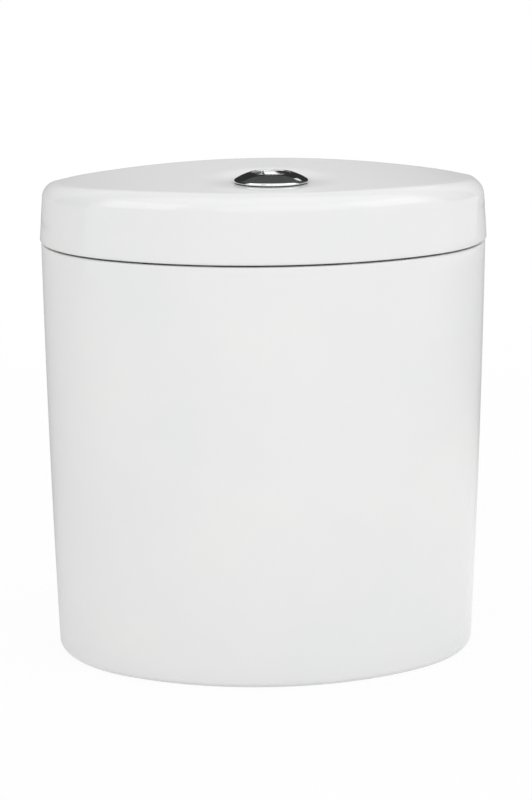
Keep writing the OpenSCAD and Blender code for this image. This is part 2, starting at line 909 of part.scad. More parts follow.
module outlet_back_nut() {
    nut_r = tail_r + outlet_nut_ring;
    low = skirt_h - outlet_nut_h;
    flange_h = 3;
    lug_h = 2;
    lug_half = 4;
    color("whitesmoke")
    at_axis()
    difference() {
        union() {
            rod(nut_r - lug_h, low, skirt_h);
            rod(nut_r, skirt_h - flange_h, skirt_h);
            for (turn = [0 : 60 : 300])
                rotate([0, 0, turn])
                box([tail_r + lug_h, -lug_half, low], [nut_r, lug_half, skirt_h]);
        }
        rod(tail_r + fit_gap, low - cut, skirt_h + cut);
    }
}

// One copy for each of the cage's four posts
module at_posts() {
    at_axis()
    for (turn = [45 : 90 : 315])
        rotate([0, 0, turn])
        translate([post_ring_r, 0, 0])
        children();
}

module cage_foot() {
    color("lightsteelblue")
    difference() {
        at_axis() tube(cage_r, post_ring_r - post_d / 2, flange_top, foot_top);
        at_posts() rod(post_pin_r + fit_gap / 2, foot_top - post_pin_h, foot_top + cut);
    }
}

module cage_posts() {
    color("slategray")
    at_posts()
    union() {
        rod(post_d / 2, foot_top, deck_z);
        rod(post_pin_r, foot_top - post_pin_h, foot_top + cut);
    }
}

// A guide that the posts carry: what it holds in place, and an eye round each post
module post_guide(z) {
    difference() {
        union() {
            children();
            at_posts() rod(post_d / 2 + post_eye, z, z + guide_h);
        }
        at_posts() rod(post_d / 2 + fit_gap, z - cut, z + guide_h + cut);
    }
}

module sleeve_guide() {
    ring_drop = 30;
    z = sleeve_top_z - bar_arm_h - ring_drop;
    color("lightsteelblue")
    post_guide(z)
    at_axis() tube(cage_r, guide_r, z, z + guide_h);
}

module overflow_guides() {
    hub_t = 3.5;
    spoke_half = 2;
    bore_r = overflow_r + guide_gap;
    sleeve_room = 16;
    bar_room = 10;
    low = sleeve_top_z + lift_travel + sleeve_room;
    high = overflow_arm_z - bar_arm_h - guide_h - bar_room;
    color("lightsteelblue")
    for (z = [low, high])
        post_guide(z)
        at_axis() {
            tube(bore_r + hub_t, bore_r, z, z + guide_h);
            for (turn = [45 : 90 : 315])
                rotate([0, 0, turn])
                box([bore_r + hub_t / 2, -spoke_half, z], [post_ring_r, spoke_half, z + guide_h]);
        }
}

// Ends along X of the three cheeks that carry the rocker pin
cheek_spans = [
    [half_x - rocker_w / 2 - cheek_gap - cheek_t, half_x - rocker_w / 2 - cheek_gap],
    [half_x + rocker_w / 2 + cheek_gap, full_x - rocker_w / 2 - cheek_gap],
    [full_x + rocker_w / 2 + cheek_gap, full_x + rocker_w / 2 + cheek_gap + cheek_t]
];

module valve_head() {
    deck_room = 2;
    color("steelblue")
    difference() {
        union() {
            at_axis() rod(cage_r, deck_z, deck_z + deck_t);
            for (span = cheek_spans)
                box(
                    [span[0], pin_y - cheek_half, deck_z + deck_t / 2],
                    [span[1], pin_y + cheek_half, pin_z + pin_d / 2 + cheek_t]
                );
        }
        at_axis() rod(overflow_r + deck_room, deck_z - cut, deck_z + deck_t + cut);
        translate([-tank_w / 4, pin_y, pin_z])
            rotate([0, 90, 0])
            cylinder(r = pin_d / 2 + fit_gap / 2, h = tank_w / 2);
    }
}

// Bar that a rocker lifts: lower arm, post behind the rocker's nose and a plate over the nose
module lifting_bar(x, arm_y, arm_top) {
    low = arm_top - bar_arm_h;
    plate_z = rod_foot;
    half = bar_w / 2;
    box([x - half, arm_y, low], [x + half, bar_back + bar_t, arm_top]);
    box([x - half, bar_back, low], [x + half, bar_back + bar_t, plate_z + bar_t]);
    box([x - half, lift_y - 2 * nose_r, plate_z], [x + half, bar_back + bar_t, plate_z + bar_t]);
}

// Lifting bar with a band round the tube that it lifts
module banded_bar(x, tube_r, arm_top) {
    low = arm_top - bar_arm_h;
    difference() {
        union() {
            lifting_bar(x, axis_y, arm_top);
            at_axis() rod(tube_r + fit_gap + band_t, low, arm_top);
        }
        at_axis() rod(tube_r + fit_gap, low - cut, arm_top + cut);
    }
}

module full_flush_sleeve() {
    keeper_t = 2.5;
    color("tomato")
    at_axis()
    difference() {
        union() {
            rod(sleeve_r, sleeve_floor, sleeve_top_z);
            rod(spigot_r, seat_top - keeper_t / 2, sleeve_floor + cut);
            rod(spigot_r + keeper_over, seat_top - keeper_t, seat_top);
        }
        difference() {
            rod(sleeve_r - sleeve_wall, sleeve_floor + sleeve_floor_t, sleeve_top_z + cut);
            rod(port_r + seal_lip_w, sleeve_floor, lip_top);
        }
        rod(port_r, seat_top - 2 * seal_t, lip_top + cut);
    }
}

module full_lift_bar() {
    color("salmon")
    banded_bar(full_x, sleeve_r, sleeve_top_z);
}

module sleeve_seal() {
    color("dimgray")
    at_axis()
    tube(outlet_r + seat_w + seal_over, spigot_r + fit_gap, seat_top, sleeve_floor);
}

module overflow_tube() {
    bore_r = overflow_r - overflow_wall;
    keeper_r = port_r - 3 * guide_gap;
    color("gold")
    at_axis()
    difference() {
        union() {
            rod(overflow_r, lip_top - overflow_tail, overflow_z);
            rod(keeper_r, lip_top - overflow_tail, lip_top);
            rod(overflow_seal_r, overflow_foot, overflow_foot + overflow_foot_t);
        }
        rod(bore_r, lip_top - overflow_tail - cut, overflow_z + cut);
    }
}

module half_lift_bar() {
    color("khaki")
    banded_bar(half_x, overflow_r, overflow_arm_z);
}

module overflow_seal() {
    color("dimgray")
    at_axis()
    tube(overflow_seal_r, overflow_r + fit_gap, lip_top, overflow_foot);
}

module rocker_pin() {
    low = cheek_spans[0][0];
    high = cheek_spans[2][1];
    head_t = 1.5;
    color("silver")
    translate([low, pin_y, pin_z])
    rotate([0, 90, 0])
    union() {
        rod(pin_d / 2, -cut, high - low + cut);
        rod(pin_d / 2 + head_t, -head_t, 0);
    }
}

module rocker(x) {
    beam_half = nose_r * 0.85;
    color("royalblue")
    upright_plate(x, rocker_w)
    difference() {
        union() {
            translate([pin_y, pin_z]) circle(hub_r);
            for (y = [axis_y, lift_y]) translate([y, pin_z]) circle(nose_r);
            translate([axis_y, pin_z - beam_half]) square([lift_y - axis_y, 2 * beam_half]);
        }
        translate([pin_y, pin_z]) circle(pin_d / 2 + pin_gap);
    }
}

module full_rocker() { rocker(full_x); }
module half_rocker() { rocker(half_x); }

module inlet_shank() {
    color("whitesmoke")
    at_inlet()
    difference() {
        union() {
            rod(inlet_r, tail_clear, flange_top);
            rod(inlet_flange_d / 2, flange_z, flange_top);
            rod(socket_r, flange_z, socket_top);
        }
        rod(inlet_bore_d / 2, tail_clear - cut, socket_top);
        tail_groove(inlet_r, inlet_nut_h);
        rod(riser_r + fit_gap, socket_step, socket_top + cut);
    }
}

module inlet_filter() {
    filter_h = 18;
    filter_wall = 1;
    filter_r = inlet_bore_d / 2 - fit_gap;
    filter_in = 2;
    low = tail_clear + filter_in;
    slot_half = 2;
    slot_h = 1.5;
    slot_end = 4;
    color("lightgray")
    at_inlet()
    difference() {
        rod(filter_r, low, low + filter_h);
        rod(filter_r - filter_wall, low - cut, low + filter_h - filter_wall);
        for (turn = [0, 90], z = [low + slot_end : 2 * slot_h : low + filter_h - slot_end])
            rotate([0, 0, turn])
            box([-filter_r - cut, -slot_half, z], [filter_r + cut, slot_half, z + slot_h]);
    }
}

module inlet_seal_washer() {
    color("dimgray")
    at_inlet()
    tube(inlet_flange_d / 2, inlet_r + fit_gap, floor_z, flange_z);
}

module hex_nut(across, bore_r, z0, z1) {
    difference() {
        translate([0, 0, z0]) cylinder(r = across / 2 / cos(30), h = z1 - z0, $fn = 6);
        rod(bore_r, z0 - cut, z1 + cut);
    }
}

module inlet_back_nut() {
    color("whitesmoke")
    at_inlet()
    hex_nut(inlet_nut_w, inlet_r + fit_gap, skirt_h - inlet_nut_h, skirt_h);
}

module riser_tube() {
    color("whitesmoke")
    at_inlet()
    tube(riser_r, riser_r - riser_wall, socket_step, riser_top);
}

module riser_lock_ring() {
    ring_r = socket_r + lock_lip;
    grip_r = 1.4;
    grip_out = 0.6;
    color("steelblue")
    at_inlet()
    difference() {
        rod(ring_r, socket_top - socket_h / 2, socket_top + lock_lip);
        rod(socket_r + fit_gap, socket_top - socket_h / 2 - cut, socket_top);
        rod(riser_r + fit_gap, socket_top - cut, socket_top + lock_lip + cut);
        for (turn = [0 : 30 : 330])
            rotate([0, 0, turn])
            translate([ring_r + grip_out, 0, 0])
            rod(grip_r, socket_top - socket_h / 2 - cut, socket_top + lock_lip + cut);
    }
}

module discharge_tube() {
    mouth_z = socket_top + 2 * lock_lip;
    color("lightgray")
    at_inlet()
    tube(discharge_r, discharge_r - riser_wall, mouth_z, fill_body_z);
}

module fill_valve_body() {
    chamber_h = 8;
    chamber_wall = 4;
    color("whitesmoke")
    at_inlet()
    difference() {
        rod(body_r, fill_body_z, body_top);
        rod(riser_r + fit_gap, fill_body_z - cut, riser_top);
        rod(riser_r / 2, fill_body_z, body_top + cut);
        rod(body_r - chamber_wall, body_top - chamber_h, body_top + cut);
    }
}

module diaphragm() {
    color("dimgray")
    at_inlet()
    rod(body_r - guide_gap, body_top, cap_z);
}

module fill_valve_cap() {
    skirt_drop = 12;
    skirt_t = 2;
    cheek_in = arm_w / 2 + cheek_gap;
    ear = 4;
    color("steelblue")
    at_inlet()
    difference() {
        union() {
            rod(body_r + skirt_t, body_top - skirt_drop, cap_top);
            for (side = [-1, 1])
                translate([arm_back, side * (cheek_in + cheek_t / 2), 0])
                box([-ear, -cheek_t / 2, cap_top - cut], [ear, cheek_t / 2, arm_z + ear]);
        }
        rod(body_r + fit_gap, body_top - skirt_drop - cut, cap_z);
        translate([arm_back, body_r * 2, arm_z])
            rotate([90, 0, 0])
            cylinder(r = arm_pin_d / 2 + fit_gap / 2, h = body_r * 4);
    }
}

module arm_pin() {
    half = arm_w / 2 + cheek_gap + cheek_t + cut;
    head_t = 1;
    color("silver")
    translate([inlet_x + arm_back, inlet_y + half, arm_z])
    rotate([90, 0, 0])
    union() {
        rod(arm_pin_d / 2, 0, 2 * half);
        rod(arm_pin_d / 2 + head_t, -head_t, cut);
    }
}

module float_arm() {
    slot_half = float_rod_r + slot_room;
    slot_end = 2 * slot_half;
    end_t = 2;
    eye_wall = 3;
    color("lightgray")
    translate([inlet_x + arm_back, inlet_y, arm_z])
    rotate([0, -arm_drop, 0])
    difference() {
        union() {
            box([-arm_l - slot_end - end_t, -arm_w / 2, -arm_t / 2], [0, arm_w / 2, arm_t / 2]);
            rotate([90, 0, 0])
                translate([0, 0, -arm_w / 2])
                cylinder(r = arm_pin_d / 2 + eye_wall, h = arm_w);
        }
        box([-arm_l - slot_end, -slot_half, -arm_t], [-arm_l + slot_end, slot_half, arm_t]);
        rotate([90, 0, 0])
            translate([0, 0, -arm_w])
            cylinder(r = arm_pin_d / 2 + pin_gap, h = 2 * arm_w);
    }
}

module float_cup() {
    bore_r = discharge_r + float_gap;
    low = float_top - float_h;
    boss_h = 10;
    boss_wall = 2;
    color("palegreen")
    at_inlet()
    difference() {
        union() {
            rod(float_d / 2, low, float_top);
            translate([rod_off, 0, 0]) rod(float_rod_r + boss_wall, float_top - cut, float_top + boss_h);
        }
        difference() {
            rod(float_d / 2 - float_wall, low - cut, float_top - float_wall);
            rod(bore_r + float_wall, low - 2 * cut, float_top);
        }
        rod(bore_r, low - cut, float_top + boss_h);
        translate([rod_off, 0, 0]) rod(float_rod_r + fit_gap / 2, float_top, float_top + boss_h + cut);
    }
}

module float_rod() {
    collar_t = 3;
    spare_thread = 16;
    color("whitesmoke")
    at_inlet()
    translate([rod_off, 0, 0])
    union() {
        rod(float_rod_r, float_top, arm_end_z + collar_reach + spare_thread);
        rod(collar_half, arm_end_z - collar_reach - collar_t, arm_end_z - collar_reach);
    }
}

module float_rod_nut() {
    low = arm_end_z + collar_reach;
    nut_h = 6;
    grip_r = 0.8;
    grip_out = 0.3;
    color("steelblue")
    at_inlet()
    translate([rod_off, 0, 0])
    difference() {
        rod(collar_half, low, low + nut_h);
        rod(float_rod_r + fit_gap / 2, low - cut, low + nut_h + cut);
        for (turn = [0 : 45 : 315])
            rotate([0, 0, turn])
            translate([collar_half + grip_out, 0, 0])
            rod(grip_r, low - cut, low + nut_h + cut);
    }
}

module blanking_plug() {
    thread_over = 2;
    key_h = 5;
    key_half_t = 2;
    key_half_l = inlet_flange_d / 2 - key_h;
    color("whitesmoke")
    at_plug()
    union() {
        rod(inlet_r, skirt_h - inlet_nut_h - thread_over, flange_z + cut);
        rod(inlet_flange_d / 2, flange_z, flange_top);
        box([-key_half_l, -key_half_t, flange_top], [key_half_l, key_half_t, flange_top + key_h]);
    }
}

module blanking_washer() {
    color("dimgray")
    at_plug()
    tube(inlet_flange_d / 2, inlet_r + fit_gap, floor_z, flange_z);
}

module blanking_nut() {
    color("whitesmoke")
    at_plug()
    hex_nut(inlet_nut_w, inlet_r + fit_gap, skirt_h - inlet_nut_h, skirt_h);
}

tank();
lid();
lid_pads();
button_bezel();
bezel_gasket();
bezel_nut();
button_carrier();
full_flush_button();
half_flush_button();
full_push_rod();
half_push_rod();
full_button_spring();
half_button_spring();
valve_base();
base_seal_washer();
outlet_back_nut();
cage_foot();
cage_posts();
sleeve_guide();
overflow_guides();
valve_head();
full_flush_sleeve();
full_lift_bar();
sleeve_seal();
overflow_tube();
half_lift_bar();
overflow_seal();
rocker_pin();
full_rocker();
half_rocker();
inlet_shank();
inlet_filter();
inlet_seal_washer();
inlet_back_nut();
riser_tube();
riser_lock_ring();
discharge_tube();
fill_valve_body();
diaphragm();
fill_valve_cap();
float_cup();
float_rod();
float_rod_nut();
float_arm();
arm_pin();
blanking_plug();
blanking_washer();
blanking_nut();
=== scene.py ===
import json
import math

import bmesh
import bpy
from bpy.props import FloatProperty, FloatVectorProperty, PointerProperty
from mathutils import Matrix, Vector


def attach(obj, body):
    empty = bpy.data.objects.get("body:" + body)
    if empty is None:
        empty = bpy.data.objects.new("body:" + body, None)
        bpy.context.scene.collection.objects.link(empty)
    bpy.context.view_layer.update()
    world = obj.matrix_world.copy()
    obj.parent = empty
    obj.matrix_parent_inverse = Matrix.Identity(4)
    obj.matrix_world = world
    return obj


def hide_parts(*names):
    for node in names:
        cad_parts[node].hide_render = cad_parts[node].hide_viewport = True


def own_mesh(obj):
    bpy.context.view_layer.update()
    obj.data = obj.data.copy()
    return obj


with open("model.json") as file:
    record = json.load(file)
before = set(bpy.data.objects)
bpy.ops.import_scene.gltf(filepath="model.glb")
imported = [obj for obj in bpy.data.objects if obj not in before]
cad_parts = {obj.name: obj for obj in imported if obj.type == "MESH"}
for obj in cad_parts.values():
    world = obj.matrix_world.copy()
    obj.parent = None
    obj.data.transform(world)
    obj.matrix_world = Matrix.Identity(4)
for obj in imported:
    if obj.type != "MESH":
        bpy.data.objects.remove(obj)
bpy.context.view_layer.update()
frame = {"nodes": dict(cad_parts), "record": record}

bl_info = {
    "name": "Close-coupled cistern",
    "version": (1, 0, 0),
    "blender": (4, 5, 0),
    "location": "View3D > Sidebar > Cistern",
    "description": "Glazed tank and lid, chrome push button and valves on the packed frame",
    "category": "Object",
}

RIGHT_ANGLE = math.pi / 2

# Points nearer to each other than this become one, and the least radius of an upright back edge
MERGE = 1e-6
LEAST_CORNER = 0.001

# Points along each part of the plan outline, from the front middle to the back middle
FRONT_STEPS = 28
CORNER_STEPS = 36
SIDE_STEPS = 3
BACK_STEPS = 8
EDGE_STEPS = 14

# Points round a turned piece and round a drill
TURN_STEPS = 96
DRILL_STEPS = 48

# Rings up the sides of the lid and the tank, down the tank's inside and round the lid's top edge
LID_SIDE_RINGS = 8
TANK_SIDE_RINGS = 26
TANK_INSIDE_RINGS = 16
LID_EDGE_RINGS = 18

# Rings over the lid's top, as shares of the way out from the seat to the edge, and rings under its
# roof, as shares of the way in from the wall to the boss
TOP_SHARES = (0.92, 0.84, 0.76, 0.68, 0.6, 0.52, 0.44, 0.37, 0.3, 0.24, 0.18, 0.13, 0.08, 0.04, 0.0)
ROOF_SHARES = (0.75, 0.5, 0.3, 0.15, 0.0)

# Rings over the tank's base panel, as shares of the way from its wall to the outlet hole
BASE_SHARES = (0.0, 0.25, 0.5, 0.75, 1.0)

# Rings over a button's hollow and over its dished top, as shares of the way out from its rod
HOLLOW_SHARES = (0.04, 0.5, 1.0)
DISH_SHARES = (0.9, 0.78, 0.64, 0.5, 0.36, 0.22, 0.1, 0.03)

# One turn of the shank's thread: shares of its pitch and of its depth
THREAD_FORM = ((0.0, 1.0), (0.35, 0.0), (0.6, 0.0), (0.95, 1.0))


def length(name, description, default):
    """A size in metres that a user can change."""
    return FloatProperty(
        name=name, description=description, default=default, unit="LENGTH", precision=4
    )


def share(name, description, default):
    """A plain number between 0 and 1."""
    return FloatProperty(
        name=name, description=description, default=default, min=0.0, max=1.0, subtype="FACTOR"
    )


def steepness(name, description, degrees):
    """An angle that a user can change."""
    return FloatProperty(
        name=name, description=description, default=math.radians(degrees), subtype="ANGLE"
    )


def colour(name, description, default):
    """A colour that a user can change."""
    return FloatVectorProperty(
        name=name, description=description, default=default,
        min=0.0, max=1.0, size=3, subtype="COLOR",
    )


def power(name, description, default):
    """A light's level."""
    return FloatProperty(name=name, description=description, default=default, min=0.0)


class CisternTankSizes(bpy.types.PropertyGroup):
    """Sizes of the glazed tank"""

    width: length("Width", "Width at the rim", 0.370)
    front: length("Front", "Place of the front at the rim", -0.086)
    back: length("Back", "Place of the flat back", 0.087)
    height: length("Height", "Height of the rim", 0.346)
    side_draw: length("Side draw", "How far each side draws in at the base", 0.0087)
    front_draw: length("Front draw", "How far the front draws in at the base", 0.0056)
    straight: share("Straight share", "Share of the draw that is a straight taper", 0.47)
    bow: length("Bow", "Distance behind the front where the sides run straight", 0.148)
    corner: length("Front corner", "Radius of the front corners in plan", 0.1302)
    back_corner: length("Back corner", "Radius of the upright edges at the back", 0.014)
    wall: length("Wall", "Thickness of the wall", 0.009)
    base: length("Base", "Thickness of the base panel", 0.011)
    skirt: length("Skirt", "Depth of the skirt under the base panel", 0.030)
    skirt_wall: length("Skirt wall", "Wall of the skirt", 0.011)
    foot_round: length("Foot round", "Radius along the bottom edge", 0.006)
    rim_round: length("Rim round", "Radius along the rim's outer edge", 0.0015)
    rim_round_in: length("Inner rim round", "Radius along the rim's inner edge", 0.0025)
    floor_round: length("Floor round", "Radius between the inner wall and the base panel", 0.005)
    outlet_hole: length("Outlet hole", "Radius of the outlet hole", 0.032)
    inlet_hole: length("Inlet hole", "Radius of the two inlet holes", 0.0115)
    inlet_x: length("Inlet place", "Distance of the inlets from the middle", 0.112)
    inlet_y: length("Inlet depth", "Place of the inlets from front to back", 0.022)
    bolt_hole: length("Bolt hole", "Radius of the coupling bolt holes", 0.0075)
    bolt_x: length("Bolt place", "Distance of the bolt holes from the middle", 0.075)
    screw_hole: length("Screw hole", "Radius of the screw holes in the back", 0.004)
    screw_x: length("Screw place", "Distance of the screw holes from the middle", 0.100)
    screw_z: length("Screw height", "Height of the screw holes", 0.300)
    pipe_gap: length("Pipe gap", "Half the width of the opening in the back of the skirt", 0.135)


class CisternLidSizes(bpy.types.PropertyGroup):
    """Sizes of the glazed lid"""

    overhang: length("Overhang", "How far the lid stands proud of the rim", 0.001)
    back: length("Back", "Place of the lid's back", 0.086)
    bottom: length("Bottom", "Height of the lid's lower edge", 0.3475)
    front_height: length("Front height", "Height of the top over the rim at the front", 0.0555)
    back_height: length("Back height", "Height of the top over the rim at the back", 0.0665)
    crown_front: length("Front crown", "Fall of the top to its sides at the front", 0.003)
    crown_back: length("Back crown", "Fall of the top to its sides at the back", 0.0185)
    edge: length("Edge round", "Radius along the top edge", 0.015)
    back_edge: length(
        "Back edge round", "Radius along the middle of the top edge at the back", 0.005
    )
    back_edge_in: length(
        "Back edge end", "Distance from the lid's side where the smaller radius ends", 0.008
    )
    back_edge_blend: length("Back edge blend", "Length over which the two radii blend", 0.028)
    lean: length("Lean", "How far the sides lean in below that edge", 0.0023)
    foot: length("Foot round", "Radius along the bottom edge", 0.002)
    wall: length("Wall", "Wall of the skirt", 0.010)
    roof: length("Roof", "Thickness of the roof", 0.009)
    roof_round: length("Roof round", "Inner radius between skirt and roof", 0.010)
    seat: length("Seat", "Radius of the flat button seat", 0.033)
    seat_sink: length("Seat sink", "How far the seat is sunk into the slope", 0.0014)
    seat_blend: length("Seat blend", "Width over which the seat blends into the slope", 0.024)
    hole: length("Hole", "Radius of the button hole", 0.021)
    boss: length("Boss", "Radius of the boss under the seat", 0.0285)
    boss_depth: length("Boss depth", "Depth of the boss below the seat", 0.013)
    lug_length: length("Lug length", "Length of a locating lug", 0.018)
    lug_thick: length("Lug thickness", "Thickness of a locating lug", 0.006)
    lug_drop: length("Lug drop", "How far a lug reaches below the rim", 0.010)
    lug_gap: length("Lug gap", "Room between a lug and the tank's wall", 0.002)


class CisternButtonSizes(bpy.types.PropertyGroup):
    """Sizes of the push button"""

    axis_y: length("Axis", "Place of the button's axis from front to back", -0.022)
    gasket: length("Gasket", "Thickness of the gasket under the bezel", 0.001)
    bezel: length("Bezel", "Radius of the bezel", 0.030)
    bezel_height: length("Bezel height", "Height of the bezel over its gasket", 0.0075)
    bezel_edge: length("Bezel edge", "Height of the bezel's upright edge", 0.0006)
    bezel_round: length("Bezel round", "Radius between the upright edge and the dome", 0.002)
    rim_slope: steepness("Rim slope", "Slope of the dome where it meets the well's ring", 16.0)
    well: length("Well", "Radius of the button well", 0.0166)
    well_rim: length("Well rim", "Width of the ring round the well", 0.0008)
    shank: length("Shank", "Outer radius of the threaded shank", 0.020)
    shank_length: length("Shank length", "Length of the shank below the gasket", 0.032)
    thread: length("Thread", "Pitch of the shank's thread", 0.003)
    cap: length("Buttons", "Radius of both buttons together", 0.0162)
    cap_height: length("Button height", "Height of a button", 0.010)
    cap_sink: length("Button sink", "How far the buttons lie below the bezel's rim", 0.0011)
    dish: length("Dish", "Depth of the dish across both buttons", 0.0014)
    dish_rise: length(
        "Dish rise", "How far the dished tops stand above the tops of the solids", 0.0008
    )
    split_x: length("Split", "Place of the split from the axis", -0.006)
    split_gap: length("Split gap", "Width of the split", 0.0008)
    full_x: length("Full rod", "Place of the full-flush rod from the axis", 0.007)
    half_x: length("Half rod", "Place of the half-flush rod from the axis", -0.0105)
    coil: length("Coil", "Radius of a return spring", 0.0042)
    wire: length("Wire", "Radius of the spring wire", 0.0005)
    spring_low: length("Spring foot", "Height of a spring's foot", 0.37723)
    travel: length("Travel", "Travel of a button", 0.006)


class CisternFinishes(bpy.types.PropertyGroup):
    """Colours of the finishes"""

    glaze: colour("Glaze", "White of the glaze", (0.80, 0.80, 0.795))
    glaze_deep: colour("Deep glaze", "White where the glaze lies thicker", (0.775, 0.78, 0.78))
    chrome: colour("Chrome", "Tone of the plating", (0.80, 0.81, 0.82))
    chrome_dull: colour("Dull chrome", "Tone of the handled plating", (0.70, 0.71, 0.72))
    white: colour("White plastic", "Tone of the white mouldings", (0.80, 0.80, 0.77))
    white_deep: colour(
        "Aged white plastic", "Tone in the hollows of the white mouldings", (0.70, 0.69, 0.64)
    )
    grey: colour("Grey plastic", "Tone of the grey mouldings", (0.45, 0.47, 0.49))
    grey_deep: colour(
        "Deep grey plastic", "Tone in the hollows of the grey mouldings", (0.34, 0.36, 0.38)
    )
    blue: colour("Blue plastic", "Tone of the blue mouldings", (0.05, 0.17, 0.42))
    blue_deep: colour(
        "Deep blue plastic", "Tone in the hollows of the blue mouldings", (0.03, 0.11, 0.30)
    )
    rubber: colour("Rubber", "Tone of the seals", (0.030, 0.030, 0.032))
    rubber_dusty: colour("Dusty rubber", "Tone of the bloom on the seals", (0.075, 0.075, 0.078))
    steel: colour("Steel", "Tone of the wire and pins", (0.58, 0.58, 0.57))
    steel_dull: colour("Dull steel", "Tone of the drawn lines in the steel", (0.42, 0.42, 0.42))
    floor: colour("Floor", "Tone of the floor", (0.86, 0.86, 0.86))


class CisternLights(bpy.types.PropertyGroup):
    """Levels of the studio lights"""

    key: power("Key", "Broad softbox in front, above the camera", 12.0)
    overhead: power("Overhead", "Softbox straight above, which no mirror sees", 9.2)
    rear: power("Rear", "Wall of light behind, for the glaze alone", 23.8)
    left: power("Left", "Softbox on the left", 15.0)
    right: power("Right", "Softbox on the right", 15.3)
    ambient: power("Ambient", "Even light of the room", 0.75)
    paper: share("Paper", "How white the floor looks near the object", 0.93)


# Outlines


def front_radius(half_w, bow, corner):
    """Radius of the front arc that runs smoothly into the corner arcs."""
    return ((half_w - corner) ** 2 + bow * bow - corner * corner) / (2 * (bow - corner))


def plan(half_w, front, back, bow, corner, back_corner):
    """Plan outline: front arc, corner arcs, straight sides, rounded edges and a flat back."""
    front_r = front_radius(half_w, bow, corner)
    turn = math.atan2(half_w - corner, front_r - bow)
    right = []
    for i in range(FRONT_STEPS):
        t = turn * i / FRONT_STEPS
        right.append((front_r * math.sin(t), front + front_r * (1 - math.cos(t))))
    for i in range(CORNER_STEPS):
        t = turn + (RIGHT_ANGLE - turn) * i / CORNER_STEPS
        right.append((half_w - corner * (1 - math.sin(t)), front + bow - corner * math.cos(t)))
    for i in range(SIDE_STEPS):
        y = front + bow + (back - back_corner - front - bow) * i / SIDE_STEPS
        right.append((half_w, y))
    for i in range(BACK_STEPS):
        t = RIGHT_ANGLE * i / BACK_STEPS
        right.append((
            half_w - back_corner * (1 - math.cos(t)), back - back_corner * (1 - math.sin(t))
        ))
    for i in range(EDGE_STEPS + 1):
        right.append(((half_w - back_corner) * (1 - i / EDGE_STEPS), back))
    left = [(-x, y) for x, y in reversed(right[1:-1])]
    return right + left


def tank_outline(tank, z, inset):
    """Outline of the tank at a height, moved in by a wall."""
    t = (tank.height - z) / tank.height
    drawn = tank.straight * t + (1 - tank.straight) * t * t
    side = tank.side_draw * drawn + inset
    return plan(
        tank.width / 2 - side,
        tank.front + tank.front_draw * drawn + inset,
        tank.back - inset,
        tank.bow - side,
        tank.corner - side,
        max(tank.back_corner - inset, LEAST_CORNER),
    )


def lid_outline(tank, lid, inset):
    """Outline of the lid, moved in by a wall."""
    return plan(
        tank.width / 2 + lid.overhang - inset,
        tank.front - lid.overhang + inset,
        lid.back - inset,
        tank.bow + lid.overhang - inset,
        tank.corner + lid.overhang - inset,
        max(tank.back_corner - inset, LEAST_CORNER),
    )


def level(outline, z):
    """An outline as a ring at one height."""
    return [Vector((x, y, z)) for x, y in outline]


def towards_circle(outline, centre, radius, part, z):
    """A level ring part of the way from an outline to a circle."""
    ring = []
    for x, y in outline:
        out = Vector((x, y)) - centre
        point = centre + out.lerp(out.normalized() * radius, part)
        ring.append(Vector((point.x, point.y, z)))
    return ring


def circle_ring(outline, centre, radius, z):
    """A circle with one point for each point of an outline, in the same directions."""
    return towards_circle(outline, centre, radius, 1.0, z)


def quarter(radius, steps):
    """A rounded edge as pairs of distances: one falls from the radius to 0, the other rises."""
    turns = [RIGHT_ANGLE * i / steps for i in range(steps + 1)]
    return [(radius * (1 - math.sin(t)), radius * (1 - math.cos(t))) for t in turns]


# Modelling


def clear_selection():
    """Leaves edit mode with nothing selected."""
    if bpy.context.object and bpy.context.object.mode != "OBJECT":
        bpy.ops.object.mode_set(mode="OBJECT")
    bpy.ops.object.select_all(action="DESELECT")


def select_only(piece):
    """Makes one piece the selected and active one."""
    clear_selection()
    piece.select_set(True)
    bpy.context.view_layer.objects.active = piece


def named(name):
    """The object just added, under a name of its own."""
    piece = bpy.context.object
    piece.name = name
    piece.data.name = name
    return piece


def close_mesh():
    """Merges doubles, turns the faces outwards and leaves edit mode."""
    bpy.ops.mesh.select_all(action="SELECT")
    bpy.ops.mesh.remove_doubles(threshold=MERGE)
    bpy.ops.mesh.normals_make_consistent(inside=False)
    bpy.ops.object.mode_set(mode="OBJECT")


def through_rings(name, rings, ring_closed=False):
    """A circle set on the first ring and extruded through the others, then closed or capped."""
    clear_selection()
    fill = "NOTHING" if ring_closed else "NGON"
    bpy.ops.mesh.primitive_circle_add(vertices=len(rings[0]), fill_type=fill)
    piece = named(name)
    bpy.ops.object.mode_set(mode="EDIT")
    mesh = bmesh.from_edit_mesh(piece.data)
    station = mesh.verts.layers.int.new("station")
    for i, vert in enumerate(mesh.verts):
        vert[station] = i
        vert.co = rings[0][i]
    bmesh.update_edit_mesh(piece.data)
    for ring in rings[1:] + ([rings[0]] if ring_closed else []):
        bpy.ops.mesh.extrude_region_move()
        mesh = bmesh.from_edit_mesh(piece.data)
        station = mesh.verts.layers.int["station"]
        for vert in mesh.verts:
            if vert.select:
                vert.co = ring[vert[station]]
        bmesh.update_edit_mesh(piece.data)
    close_mesh()
    piece.data.attributes.remove(piece.data.attributes["station"])
    return piece


